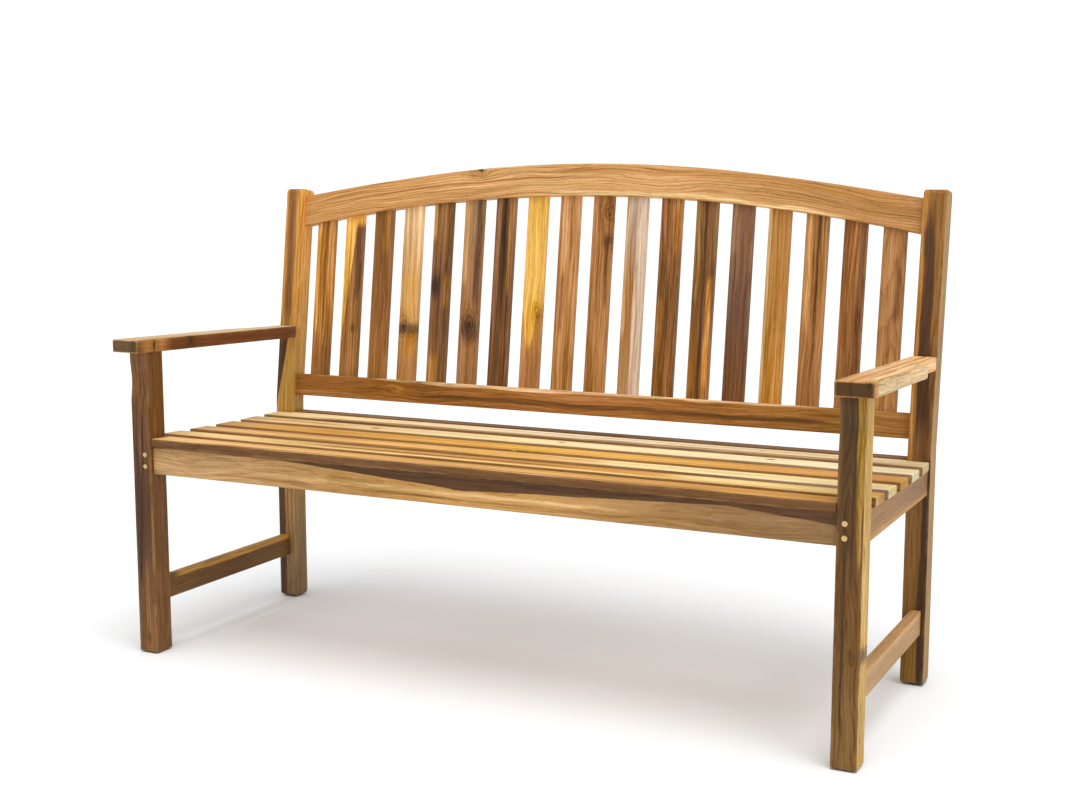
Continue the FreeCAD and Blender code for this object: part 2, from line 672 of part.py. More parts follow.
def back_slat(x):
    """Back slat with its upper end scribed to the arch."""
    y0 = RAIL_BACK_Y + BACK_SLAT_RECESS
    y1 = y0 + BACK_SLAT_THICKNESS
    slat = box(x - BACK_SLAT_WIDTH / 2, x + BACK_SLAT_WIDTH / 2, y0, y1,
               LOWER_RAIL_TOP, arch_z(0, 0))
    slat = ease(slat, EASE_SLAT, runs_along(2))
    above = upright_band(arch_line(-ARCH_HEIGHT, INNER_X, y0 - 1),
                         arch_line(ARCH_HEIGHT, INNER_X, y0 - 1), y1 - y0 + 2)
    slat = slat.cut(above)
    return lean(slat.fuse(slat_tongue(x)).removeSplitter())


def lower_back_rail():
    solid = box(-INNER_X, INNER_X, RAIL_BACK_Y, RAIL_BACK_Y + BACK_RAIL_THICKNESS,
                LOWER_RAIL_LOW, LOWER_RAIL_TOP)
    solid = ease(solid, EASE_RAIL, runs_along(0))
    solid = solid.fuse(both_ends(lower_rail_tenon())).removeSplitter()
    return lean(solid.cut(slat_mortises()))


def top_rail():
    """Arched rail between the posts, with bevelled long edges."""
    solid = upright_band(crest(INNER_X, RAIL_BACK_Y),
                         arch_line(ARCH_HEIGHT, INNER_X, RAIL_BACK_Y), BACK_RAIL_THICKNESS)

    def long_edge(start, end):
        return same(start.y, end.y) and not same(start.x, end.x)
    solid = solid.makeChamfer(BEVEL_ARCH, edges_where(solid, long_edge))
    solid = solid.fuse(both_ends(arch_tenon())).removeSplitter()
    return lean(solid.cut(slat_mortises()))


# ---- Assembly --------------------------------------------------------------------------
def bench():
    """All nodes by name, with Y = 0 at the front legs' faces."""
    nodes = {}
    for name, side in SIDES.items():
        nodes["front_leg_" + name] = front_leg(side)
        nodes["rear_post_" + name] = rear_post(side)
        nodes["arm_" + name] = arm(side)
        nodes["side_rail_" + name] = side_rail(side)
        nodes["stretcher_" + name] = stretcher(side)
        nodes["side_rail_screws_" + name] = screws(slat_screw_spots(side * SIDE_RAIL_X))
    nodes["front_apron"] = front_apron()
    nodes["rear_rail"] = rear_rail()
    nodes["middle_bearer"] = middle_bearer()
    nodes["lower_back_rail"] = lower_back_rail()
    nodes["top_rail"] = top_rail()
    for index in range(SLAT_COUNT):
        nodes["seat_slat_%d" % (index + 1)] = seat_slat(index)
    for number, x in enumerate(back_slat_places(), start=1):
        nodes["back_slat_%02d" % number] = back_slat(x)
    nodes["apron_pegs"] = apron_pegs()
    nodes["arm_dowels"] = group(
        [mirrored(dowel, side) for side in SIDES.values() for dowel in arm_dowels()])
    nodes["apron_screws"] = screws(apron_screw_spots())
    nodes["middle_bearer_screws"] = screws(slat_screw_spots(0.0))
    nodes["foot_glides"] = foot_glides()
    return nodes


def middle_y(nodes):
    """Halfway between the foremost and the rearmost point of the bench."""
    boxes = [shape.optimalBoundingBox() for shape in nodes.values()]
    return (min(limits.YMin for limits in boxes) + max(limits.YMax for limits in boxes)) / 2


def main():
    os.makedirs("parts", exist_ok=True)
    nodes = bench()
    shift = vec(0, -middle_y(nodes), 0)
    for name, shape in nodes.items():
        shape.translate(shift)
        shape.exportStep("parts/%s.step" % name)
        print("%-24s solids %d  valid %s" % (name, len(shape.Solids), shape.isValid()))
    print("shifted by %.3f" % shift.y)


main()
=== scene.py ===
import logging
import math
from dataclasses import dataclass, field
from enum import Enum
from functools import cache
from typing import Callable, ClassVar, Iterable, Mapping, Sequence

import bmesh
import bpy
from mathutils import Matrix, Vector, noise


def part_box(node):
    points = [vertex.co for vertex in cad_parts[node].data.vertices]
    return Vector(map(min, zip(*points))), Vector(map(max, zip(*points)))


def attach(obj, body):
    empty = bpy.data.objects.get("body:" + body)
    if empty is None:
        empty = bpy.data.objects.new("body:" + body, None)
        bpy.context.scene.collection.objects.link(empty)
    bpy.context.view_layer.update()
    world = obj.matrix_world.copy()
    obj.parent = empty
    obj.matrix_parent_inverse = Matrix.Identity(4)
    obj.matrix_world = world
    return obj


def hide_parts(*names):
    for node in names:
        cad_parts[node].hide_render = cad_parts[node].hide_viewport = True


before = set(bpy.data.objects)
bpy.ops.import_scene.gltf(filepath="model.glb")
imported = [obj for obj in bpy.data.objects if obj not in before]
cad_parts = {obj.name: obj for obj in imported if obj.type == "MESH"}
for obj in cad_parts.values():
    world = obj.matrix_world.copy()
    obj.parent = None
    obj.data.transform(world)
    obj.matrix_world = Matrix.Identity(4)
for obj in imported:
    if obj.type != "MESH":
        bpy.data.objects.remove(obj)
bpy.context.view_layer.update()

log = logging.getLogger("garden_bench")

MM = 0.001
X_DIR, Y_DIR, Z_DIR = Vector((1, 0, 0)), Vector((0, 1, 0)), Vector((0, 0, 1))

# The posts lean back from their knee. Lengths in millimetres from the ground and the legs' faces.
LEAN = math.radians(7.4)
KNEE_Z = 466.0
POST_FRONT_Y = 488.0
LEG_FACE_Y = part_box("front_leg_right")[0].y
UP_LEAN = Vector((0, math.sin(LEAN), math.cos(LEAN)))
BACK_LEAN = Vector((0, math.cos(LEAN), -math.sin(LEAN)))

# An end that stands in a neighbour runs this far into it, and is barely eased.
TUCK = 2.0
HIDDEN_END = (MM, MM)


def at(x: float, y: float, z: float) -> Vector:
    """Turns a point in millimetres from the legs' front faces into the frame's metres."""
    return Vector((x * MM, y * MM + LEG_FACE_Y, z * MM))


def leaning(x: float, up: float, back: float) -> Vector:
    """Point on the leaning back, from its height up the lean and its depth behind the posts' faces."""
    y = POST_FRONT_Y + up * math.sin(LEAN) + back * math.cos(LEAN)
    return at(x, y, KNEE_Z + up * math.cos(LEAN) - back * math.sin(LEAN))


def half(direction: Vector, low: float, high: float) -> Vector:
    """Half of the step from low to high, in millimetres, as a vector along a direction."""
    return direction * (0.5 * MM * (high - low))


def ease_step(value: float, low: float, high: float) -> float:
    """Smooth step from 0 at low to 1 at high."""
    t = min(max((value - low) / (high - low), 0.0), 1.0)
    return t * t * (3.0 - 2.0 * t)


def evenly(start: float, stop: float, spacing: float) -> list[float]:
    """Positions from start to stop, about a spacing apart."""
    count = max(int(round(abs(stop - start) / spacing)), 2)
    return [start + (stop - start) * k / count for k in range(count + 1)]


# ---- Boards ----------------------------------------------------------------------------
class Attribute(Enum):
    """Names of the values that a mesh keeps for its material."""

    PLACE = "place"
    WORN = "worn"
    END = "end_grain"
    GLUE = "glue_line"


class Side(Enum):
    """The bench's two ends, as seen from the front."""

    LEFT = -1
    RIGHT = 1

    @property
    def word(self) -> str:
        """The side's word in names."""
        return self.name.lower()


@dataclass(frozen=True)
class Station:
    """One cross-section of a board.

    Attributes:
        middle: Middle of the section.
        across: Half width as a vector.
        through: Half thickness as a vector.
        along: Distance from the board's start, in metres.
        shift: How far the middle lies to one side of the board's grain line, in metres.
    """

    middle: Vector
    across: Vector
    through: Vector
    along: float
    shift: float = 0.0

    def towards(self, other: "Station", share: float) -> "Station":
        """Gives the section a share of the way to another, on the same grain line.

        Args:
            other: The section that it moves towards.
            share: How far it moves, from 0 to 1.

        Returns:
            The section between the two.
        """
        return Station(self.middle.lerp(other.middle, share), self.across.lerp(other.across, share),
                       self.through.lerp(other.through, share),
                       self.along + (other.along - self.along) * share, self.shift)


@dataclass
class Board:
    """A sawn and planed board with eased arrises, lofted through its stations.

    Attributes:
        name: Name of the mesh object.
        stations: Cross-sections in order along the grain.
        arris: Radius of the eased long edges, in metres.
        end: Radius of the eased ends, across and through, in metres.
        seed: Number that sets how the arris varies from hand sanding.
    """

    name: str
    stations: Sequence[Station]
    arris: float = 2.0 * MM
    end: tuple[float, float] = (1.5 * MM, 1.5 * MM)
    seed: float = 0.0

    CORNER_STEPS: ClassVar[int] = 3
    END_STEPS: ClassVar[int] = 3
    GUARD: ClassVar[float] = 2.6
    LARGEST_ARRIS: ClassVar[float] = 0.45
    LARGEST_GUARD: ClassVar[float] = 0.9
    SANDING_WAVES: ClassVar[float] = 9.0
    SANDING_SHARE: ClassVar[float] = 0.25
    ARRIS_WEAR: ClassVar[float] = 1.0
    CORNER_WEAR: ClassVar[float] = 0.7
    END_WEAR: ClassVar[float] = 0.8

    def outline(self, half_w: float, half_t: float, radius: float) -> list[tuple[float, float, float]]:
        """Works out one rounded section.

        Args:
            half_w: Half width in metres.
            half_t: Half thickness in metres.
            radius: Corner radius in metres.

        Returns:
            Points as (across, through, wear), in order round the section.
        """
        points = []
        radius = min(radius, self.LARGEST_ARRIS * half_w, self.LARGEST_ARRIS * half_t)
        guard = min(radius * self.GUARD, self.LARGEST_GUARD * half_w, self.LARGEST_GUARD * half_t)
        for quarter, (sa, st) in enumerate(((1, 1), (-1, 1), (-1, -1), (1, -1))):
            arc = []
            for step in range(self.CORNER_STEPS + 1):
                angle = 0.5 * math.pi * step / self.CORNER_STEPS
                a = half_w - radius + radius * math.cos(angle)
                t = half_t - radius + radius * math.sin(angle)
                wear = self.ARRIS_WEAR if 0 < step < self.CORNER_STEPS else self.CORNER_WEAR
                arc.append((sa * a, st * t, wear))
            first = (sa * half_w, st * (half_t - guard), 0.0)
            arc = [first, *arc, (sa * (half_w - guard), st * half_t, 0.0)]
            points += arc if quarter % 2 == 0 else arc[::-1]
        return points

    def with_ends(self) -> list[tuple[Station, float, float, float]]:
        """Adds the closely spaced sections that round the two ends.

        Returns:
            Each section with how far it is drawn in across and through, and its end-grain mark.
        """
        steps = range(self.END_STEPS + 1)
        rows = []
        for base, other, order in ((self.stations[0], self.stations[1], steps),
                                   (self.stations[-1], self.stations[-2], reversed(steps))):
            span = (other.middle - base.middle).length
            ends = []
            for k in order:
                angle = 0.5 * math.pi * k / self.END_STEPS
                moved = base.towards(other, max(self.end) * (1.0 - math.cos(angle)) / span)
                inset = 1.0 - math.sin(angle)
                ends.append((moved, inset * self.end[0], inset * self.end[1], inset))
            rows.append(ends)
        middle = [(station, 0.0, 0.0, 0.0) for station in self.stations[1:-1]]
        return rows[0] + middle + rows[1]

    def build(self) -> bpy.types.Object:
        """Makes the mesh with its place, wear and end-grain values.

        Returns:
            The board as an object in the scene.
        """
        verts, place, worn, ends = [], [], [], []
        rows = self.with_ends()
        for station, in_a, in_t, mark in rows:
            half_w, half_t = station.across.length - in_a, station.through.length - in_t
            a_dir, t_dir = station.across.normalized(), station.through.normalized()
            hand = noise.noise(Vector((station.along * self.SANDING_WAVES, self.seed, 0.0)))
            ring = self.outline(half_w, half_t, self.arris * (1.0 + self.SANDING_SHARE * hand))
            for a, t, wear in ring:
                verts.append(station.middle + a_dir * a + t_dir * t)
                place += [station.along, a + station.shift, t]
                worn.append(max(wear, self.END_WEAR if in_a > 0 else 0.0))
                ends.append(mark)
        mesh = lofted(self.name, verts, len(verts) // len(rows))
        store(mesh, Attribute.PLACE, place)
        store(mesh, Attribute.WORN, worn)
        store(mesh, Attribute.END, ends)
        return finished_object(self.name, mesh)


def lofted(name: str, verts: Sequence[Vector], count: int) -> bpy.types.Mesh:
    """Joins equal rings of points with faces, and caps the first and the last.

    Args:
        name: Name of the mesh.
        verts: Points of all rings, one ring after another.
        count: Number of points in a ring.

    Returns:
        The mesh.
    """
    faces = []
    for low in range(0, len(verts) - count, count):
        for k in range(count):
            n = (k + 1) % count
            faces.append((low + k, low + n, low + count + n, low + count + k))
    faces.append(tuple(range(count))[::-1])
    faces.append(tuple(range(len(verts) - count, len(verts))))
    mesh = bpy.data.meshes.new(name)
    mesh.from_pydata(verts, [], faces)
    return mesh


def store(mesh: bpy.types.Mesh, name: Attribute, values: Sequence[float]) -> None:
    """Stores a number, or three for a place, on each point of a mesh.

    Args:
        mesh: The mesh.
        name: Name of the value.
        values: The numbers of all points in one flat list.
    """
    kind, key = ("FLOAT_VECTOR", "vector") if name is Attribute.PLACE else ("FLOAT", "value")
    mesh.attributes.new(name.value, kind, "POINT").data.foreach_set(key, values)


def finished_object(name: str, mesh: bpy.types.Mesh) -> bpy.types.Object:
    """Links a mesh to the scene with outward faces and smooth, weighted shading.

    Args:
        name: Name of the object.
        mesh: The mesh, in the frame's metres.

    Returns:
        The new object.
    """
    shell = bmesh.new()
    shell.from_mesh(mesh)
    bmesh.ops.recalc_face_normals(shell, faces=shell.faces)
    shell.to_mesh(mesh)
    shell.free()
    mesh.shade_smooth()
    item = bpy.data.objects.new(name, mesh)
    bpy.context.scene.collection.objects.link(item)
    item.modifiers.new("weighted_normals", "WEIGHTED_NORMAL").weight = 80
    return item


def turned(name: str, centre: Vector, axis: Vector, profile: Sequence[tuple[float, float, float]],
           steps: int = 40) -> bpy.types.Mesh:
    """Turns a profile round an axis.

    Args:
        name: Name of the mesh.
        centre: Point on the axis that heights are measured from.
        axis: Unit direction of the axis.
        profile: Radius and height in millimetres and glue mark of each ring, from cap to cap.
        steps: Number of points round each ring.

    Returns:
        The mesh, with a glue-line value and a place on each point.
    """
    side = axis.orthogonal().normalized()
    other = axis.cross(side)
    verts, glue, place = [], [], []
    for radius, height, mark in profile:
        for k in range(steps):
            angle = 2.0 * math.pi * k / steps
            a, b = radius * MM * math.cos(angle), radius * MM * math.sin(angle)
            verts.append(centre + axis * (height * MM) + side * a + other * b)
            glue.append(mark)
            place += [height * MM, a, b]
    mesh = lofted(name, verts, steps)
    store(mesh, Attribute.GLUE, glue)
    store(mesh, Attribute.PLACE, place)
    return mesh


def joined(name: str, meshes: Iterable[bpy.types.Mesh]) -> bpy.types.Object:
    """Joins several small meshes into one object.

    Args:
        name: Name of the object.
        meshes: Meshes in the frame's metres.

    Returns:
        The joined object.
    """
    shell = bmesh.new()
    for mesh in meshes:
        shell.from_mesh(mesh)
    whole = bpy.data.meshes.new(name)
    shell.to_mesh(whole)
    shell.free()
    return finished_object(name, whole)


# ---- Wiring of materials ---------------------------------------------------------------
Socket = bpy.types.NodeSocket
Feed = float | tuple | Vector | bpy.types.NodeSocket
NOISE_MIDDLE = (0.28, 0.72)
MIX_FACTOR, MIX_FIRST, MIX_SECOND, MIX_RESULT = 0, 6, 7, 2


def linear(colour: int) -> tuple[float, float, float, float]:
    """Linear colour from a hexadecimal sRGB one."""
    parts = [((colour >> shift) & 255) / 255.0 for shift in (16, 8, 0)]
    return tuple(p / 12.92 if p <= 0.04045 else ((p + 0.055) / 1.055) ** 2.4 for p in parts) + (1.0,)


class Figure(Enum):
    """Noise patterns: waves per metre along and across the grain, detail and roughness."""

    RAGGED = (60.0, 90.0, 2.0, 0.5)
    DRIFT = (5.0, 9.0, 1.0, 0.5)
    WOBBLE = (7.0, 45.0, 3.0, 0.5)
    BROAD = (2.6, 42.0, 2.0, 0.5)
    STREAKS = (4.0, 230.0, 4.0, 0.6)
    FINE = (14.0, 620.0, 3.0, 0.7)
    PORES = (70.0, 2300.0, 1.0, 0.5)
    BAND_EDGE = (9.0, 14.0, 3.0, 0.5)
    RUBBING = (22.0, 60.0, 3.0, 0.5)
    PEG_SPECKS = (900.0, 1400.0, 2.0, 0.5)
    PEG_CLOUD = (200.0, 260.0, 2.0, 0.5)
    STOCK_CLOUD = (140.0, 140.0, 2.0, 0.5)


class Wiring:
    """Makes and joins the nodes of one material or node group."""

    def __init__(self, tree: bpy.types.NodeTree) -> None:
        """Keeps the tree that nodes are added to."""
        self.tree = tree

    def feed(self, socket: Socket, value: Feed) -> None:
        """Links a socket to another, or sets its value.

        Args:
            socket: The input.
            value: What goes into it.
        """
        if isinstance(value, bpy.types.NodeSocket):
            self.tree.links.new(value, socket)
        else:
            socket.default_value = value

    def node(self, kind: str, feeds: Mapping[str | int, Feed], **settings: object) -> bpy.types.Node:
        """Adds a node, sets its properties and feeds its inputs.

        Args:
            kind: Type of the node.
            feeds: What goes into its inputs, by title or number.
            **settings: Its properties.

        Returns:
            The node.
        """
        made = self.tree.nodes.new(kind)
        for key, value in settings.items():
            setattr(made, key, value)
        for key, value in feeds.items():
            self.feed(made.inputs[key], value)
        return made

    def math(self, operation: str, *values: Feed) -> Socket:
        """Math node on one or two values."""
        return self.node("ShaderNodeMath", dict(enumerate(values)), operation=operation).outputs[0]

    def add(self, first: Feed, second: Feed) -> Socket:
        """Sum of two values."""
        return self.math("ADD", first, second)

    def less(self, first: Feed, second: Feed) -> Socket:
        """First value less the second."""
        return self.math("SUBTRACT", first, second)

    def times(self, first: Feed, second: Feed) -> Socket:
        """Product of two values."""
        return self.math("MULTIPLY", first, second)

    def rest(self, value: Feed) -> Socket:
        """One less a value."""
        return self.less(1.0, value)

    def swing(self, value: Feed, share: Feed) -> Socket:
        """A value from 0 to 1, centred on zero, times a share."""
        return self.times(self.less(value, 0.5), share)

    def reach(self, first: Feed, second: Feed) -> Socket:
        """Length of the diagonal of two distances."""
        return self.math("SQRT", self.add(self.times(first, first), self.times(second, second)))

    def sum_of(self, source: Mapping[str, Socket], start: float, shares: Mapping[str, float]) -> Socket:
        """Start value plus each named socket times its share.

        Args:
            source: The sockets.
            start: The start value.
            shares: The share of each socket.

        Returns:
            The sum.
        """
        total: Feed = start
        for title, share in shares.items():
            total = self.add(total, self.times(source[title], share))
        return total

    def vector(self, operation: str, *values: Feed) -> bpy.types.Node:
        """Vector math node."""
        return self.node("ShaderNodeVectorMath", dict(enumerate(values)), operation=operation)

    def step(self, value: Feed, low: Feed, high: Feed) -> Socket:
        """Smooth step of a value between two limits."""
        return self.node("ShaderNodeMapRange", {"Value": value, "From Min": low, "From Max": high},
                         interpolation_type="SMOOTHSTEP").outputs[0]

    def mix(self, factor: Feed, first: Feed, second: Feed) -> Socket:
        """Mix of two colours."""
        return self.node("ShaderNodeMix", {MIX_FACTOR: factor, MIX_FIRST: first, MIX_SECOND: second},
                         data_type="RGBA").outputs[MIX_RESULT]

    def split(self, vector: Feed) -> tuple[Socket, Socket, Socket]:
        """Three parts of a vector."""
        return tuple(self.node("ShaderNodeSeparateXYZ", {0: vector}).outputs)

    def combine(self, x: Feed, y: Feed, z: Feed) -> Socket:
        """Vector from its three parts."""
        return self.node("ShaderNodeCombineXYZ", {0: x, 1: y, 2: z}).outputs[0]

    def noise(self, vector: Feed, seed: Feed, detail: float, rough: float = 0.5) -> Socket:
        """Four-dimensional noise, spread so that it nearly fills 0 to 1.

        Args:
            vector: Where it is read.
            seed: Number that makes it its own.
            detail: Its detail.
            rough: How strong its fine detail is.

        Returns:
            The value socket.
        """
        made = self.node("ShaderNodeTexNoise", {"Vector": vector, "W": seed, "Scale": 1.0, "Detail": detail,
                                                "Roughness": rough}, noise_dimensions="4D")
        low, high = NOISE_MIDDLE
        return self.node("ShaderNodeMapRange", {"Value": made.outputs[0], "From Min": low,
                                                "From Max": high}).outputs[0]

    def figure(self, figure: Figure, place: Feed, seed: Feed) -> Socket:
        """Noise in one of the named patterns.

        Args:
            figure: The pattern.
            place: Distance along, across and through the board.
            seed: Number that makes it its own.

        Returns:
            The value socket.
        """
        along, across, detail, rough = figure.value
        scaled = self.vector("MULTIPLY", place, (along, across, across)).outputs[0]
        return self.noise(scaled, seed, detail, rough)

    def group(self, maker: Callable[[], bpy.types.NodeTree], feeds: Mapping[str, Feed]) -> bpy.types.Node:
        """Places a node group and feeds its inputs."""
        return self.node("ShaderNodeGroup", feeds, node_tree=maker())

    def attribute(self, name: Attribute) -> bpy.types.Node:
        """Attribute node that reads one of the mesh's values."""
        return self.node("ShaderNodeAttribute", {}, attribute_name=name.value)

    def shade(self, colour: Feed, roughness: Feed, height: Feed, bump: tuple[float, float],
              plain: Mapping[str, float]) -> None:
        """Joins a surface to a Principled shader and the material's output.

        Args:
            colour: Base colour.
            roughness: Roughness.
            height: Height for the bump, from 0 to 1.
            bump: Strength and full depth in metres of the bump.
            plain: Other inputs, the same all over the surface.
        """
        raised = self.node("ShaderNodeBump", {"Strength": bump[0], "Distance": bump[1], "Height": height})
        shader = self.node("ShaderNodeBsdfPrincipled", {"Base Color": colour, "Roughness": roughness,
                                                        "Normal": raised.outputs[0], **plain})
        self.node("ShaderNodeOutputMaterial", {0: shader.outputs[0]})


def blank_material(name: str) -> tuple[bpy.types.Material, Wiring]:
    """Starts a material that has no nodes.

    Args:
        name: Name of the material.

    Returns:
        The material and its wiring.
    """
    made = bpy.data.materials.new(name)
    made.use_nodes = True
    made.node_tree.nodes.clear()
    return made, Wiring(made.node_tree)


class Kind(Enum):
    """Socket types of a node group."""

    NUMBER = "NodeSocketFloat"
    VECTOR = "NodeSocketVector"
    COLOUR = "NodeSocketColor"


def numbers(*titles: str) -> dict[str, Kind]:
    """Number sockets with the given titles."""
    return dict.fromkeys(titles, Kind.NUMBER)


class GroupBench:
    """Starts a shader node group with named inputs and outputs."""

    def __init__(self, name: str, inputs: Mapping[str, Kind], outputs: Mapping[str, Kind]) -> None:
        """Makes the group, its sockets and its two end nodes.

        Args:
            name: Name of the group.
            inputs: Titles and types of its inputs.
            outputs: Titles and types of its outputs.
        """
        self.tree = bpy.data.node_groups.new(name, "ShaderNodeTree")
        for way, sockets in (("INPUT", inputs), ("OUTPUT", outputs)):
            for title, kind in sockets.items():
                self.tree.interface.new_socket(title, in_out=way, socket_type=kind.value)
        self.wiring = Wiring(self.tree)
        self.source = self.tree.nodes.new("NodeGroupInput").outputs
        self.sink = self.tree.nodes.new("NodeGroupOutput").inputs

    def give(self, values: Mapping[str, Feed]) -> bpy.types.NodeTree:
        """Feeds the outputs.

        Args:
            values: What each output gives, by title.

        Returns:
            The finished group.
        """
        for title, value in values.items():
            self.wiring.feed(self.sink[title], value)
        return self.tree


@cache
def knot_group() -> bpy.types.NodeTree:
    """Bends the grain round a knot, and marks its heart and the dark wood about it.

    Returns:
        The node group.
    """
    stretch, raggedness, pinch = 0.6, 0.7, 0.85
    heart_edge = (0.05, 0.42)
    swirl_base, swirl_share, swirl_rings = 0.7, 0.45, 11.0
    bench = GroupBench("Knot", {"Place": Kind.VECTOR} | numbers("Along", "Across", "Size", "Seed"),
                       {"Place": Kind.VECTOR} | numbers("Heart", "Halo"))
    w, source = bench.wiring, bench.source
    x, y, z = w.split(source["Place"])
    ragged = w.figure(Figure.RAGGED, source["Place"], source["Seed"])
    dx = w.times(w.less(x, source["Along"]), stretch)
    dy = w.less(y, source["Across"])
    far = w.add(w.math("DIVIDE", w.reach(dx, dy), source["Size"]), w.swing(ragged, raggedness))
    near = w.math("EXPONENT", w.times(w.times(far, far), -0.5))
    bent = w.less(y, w.times(w.times(dy, near), pinch))
    swirl = w.add(swirl_base, w.times(w.math("SINE", w.times(far, swirl_rings)), swirl_share))
    return bench.give({"Place": w.combine(x, bent, z), "Heart": w.rest(w.step(far, *heart_edge)),
                       "Halo": w.times(near, swirl)})


@cache
def grain_group() -> bpy.types.NodeTree:
    """Growth rings, streaks and pores of a board cut at a given place in the log.

    Returns:
        The node group.
    """
    ring_wobble = 1.3
    ring_darkens, ring_ends = (0.5, 0.93), (0.95, 1.0)
    pore_edge = (0.66, 0.9)
    bench = GroupBench("Teak Grain", {"Place": Kind.VECTOR} | numbers("Seed", "Ring Spacing", "Pith Across",
                                                                      "Pith Depth", "Slope", "Wander"),
                       numbers("Broad", "Streaks", "Fine", "Rings", "Pores"))
    w, source = bench.wiring, bench.source
    seed = source["Seed"]
    drift = w.swing(w.figure(Figure.DRIFT, source["Place"], seed), source["Wander"])
    x, y, z = w.split(source["Place"])
    y = w.add(y, drift)
    bent = w.combine(x, y, z)
    reach = w.reach(w.less(y, source["Pith Across"]), w.less(z, source["Pith Depth"]))
    reach = w.add(reach, w.times(x, source["Slope"]))
    count = w.math("DIVIDE", reach, source["Ring Spacing"])
    count = w.add(count, w.times(w.figure(Figure.WOBBLE, source["Place"], seed), ring_wobble))
    part = w.math("FRACT", count)
    rings = w.times(w.step(part, *ring_darkens), w.rest(w.step(part, *ring_ends)))
    return bench.give({"Broad": w.figure(Figure.BROAD, bent, seed),
                       "Streaks": w.figure(Figure.STREAKS, bent, seed),
                       "Fine": w.figure(Figure.FINE, bent, seed), "Rings": rings,
                       "Pores": w.step(w.figure(Figure.PORES, bent, seed), *pore_edge)})


@cache
def band_group() -> bpy.types.NodeTree:
    """Lays a band of sapwood, dark heartwood or painted shade along a board, with streaky, wandering edges.

    Returns:
        The node group.
    """
    bench = GroupBench("Colour Band", {"Base": Kind.COLOUR, "Band": Kind.COLOUR, "Place": Kind.VECTOR}
                       | numbers("Across", "Lean", "Width", "Taper", "From", "To", "Fade", "Softness",
                                 "Wander", "Strength", "Streaks", "Seed"), {"Colour": Kind.COLOUR})
    w, source = bench.wiring, bench.source
    fade, soft = source["Fade"], source["Softness"]
    x, y, _ = w.split(source["Place"])
    run = w.less(x, source["From"])
    centre = w.add(source["Across"], w.times(source["Lean"], run))
    reach = w.add(source["Width"], w.times(source["Taper"], run))
    wave = w.swing(w.figure(Figure.BAND_EDGE, source["Place"], source["Seed"]), source["Wander"])
    off = w.math("ABSOLUTE", w.less(w.add(y, wave), centre))
    off = w.add(off, w.swing(source["Streaks"], soft))
    inside = w.step(off, w.add(reach, soft), w.less(reach, soft))
    begins = w.step(x, w.less(source["From"], fade), w.add(source["From"], fade))
    ends = w.step(x, w.add(source["To"], fade), w.less(source["To"], fade))
    mask = w.times(w.times(inside, begins), w.times(ends, source["Strength"]))
    return bench.give({"Colour": w.mix(mask, source["Base"], source["Band"])})


@cache
def toning_group() -> bpy.types.NodeTree:
    """Tones a board's colour with its grain, knots, worn arrises and end grain.

    Returns:
        The node group.
    """
    broad_share, streak_share, fine_share = 0.46, 0.72, 0.62
    pore_dark, halo_dark, darkest, deepening = 0.25, 0.55, 0.12, 0.22
    heart_colour, heart_cover = linear(0x2E1A0E), 0.85
    rubbed_colour, rubbed_cover = linear(0xB98A54), 0.28
    bench = GroupBench("Teak Toning", {"Base": Kind.COLOUR} | numbers(
        "Broad", "Streaks", "Fine", "Rings", "Pores", "Heart", "Halo", "Worn", "End Grain", "Contrast",
        "Ring Strength", "End Tone"), {"Colour": Kind.COLOUR})
    w, source = bench.wiring, bench.source
    grain = w.add(w.add(w.swing(source["Broad"], broad_share), w.swing(source["Streaks"], streak_share)),
                  w.swing(source["Fine"], fine_share))
    tone = w.add(1.0, w.times(grain, source["Contrast"]))
    tone = w.less(tone, w.times(source["Rings"], source["Ring Strength"]))
    tone = w.less(tone, w.times(source["Pores"], pore_dark))
    tone = w.times(tone, w.rest(w.times(source["Halo"], halo_dark)))
    tone = w.times(tone, w.rest(w.times(source["End Grain"], w.rest(source["End Tone"]))))
    tone = w.math("MAXIMUM", tone, darkest)
    shade = w.node("ShaderNodeHueSaturation", {"Saturation": w.add(1.0, w.times(w.rest(tone), deepening)),
                                               "Value": tone, "Color": source["Base"]})
    colour = w.mix(w.times(source["Heart"], heart_cover), shade.outputs[0], heart_colour)
    rubbed = w.times(w.rest(source["End Grain"]), source["Worn"])
    return bench.give({"Colour": w.mix(w.times(rubbed, rubbed_cover), colour, rubbed_colour)})


@cache
def edge_group() -> bpy.types.NodeTree:
    """Patchy wear where hands and cloth rub the arrises.

    Returns:
        The node group.
    """
    patch_edge = (0.3, 0.8)
    bench = GroupBench("Edge Wear", {"Worn": Kind.NUMBER, "Place": Kind.VECTOR, "Seed": Kind.NUMBER},
                       numbers("Mask"))
    w, source = bench.wiring, bench.source
    patchy = w.step(w.figure(Figure.RUBBING, source["Place"], source["Seed"]), *patch_edge)
    return bench.give({"Mask": w.times(source["Worn"], patchy)})


@cache
def surface_group() -> bpy.types.NodeTree:
    """Roughness and height of oiled teak.

    Returns:
        The node group.
    """
    base_rough, base_height = 0.44, 0.5
    rough_shares = {"Streaks": 0.09, "Fine": 0.07, "Pores": 0.15, "Broad": 0.06, "Worn": -0.07,
                    "End Grain": 0.16}
    height_shares = {"Fine": 0.3, "Streaks": 0.22, "Rings": 0.18, "Pores": -0.7, "Heart": -0.5}
    bench = GroupBench("Oiled Surface", numbers("Broad", "Streaks", "Fine", "Rings", "Pores", "Heart",
                                                "Worn", "End Grain"), numbers("Roughness", "Height"))
    w, source = bench.wiring, bench.source
    return bench.give({"Roughness": w.sum_of(source, base_rough, rough_shares),
                       "Height": w.sum_of(source, base_height, height_shares)})


# ---- Finishes --------------------------------------------------------------------------
Turn = tuple[Vector, Vector, Vector]


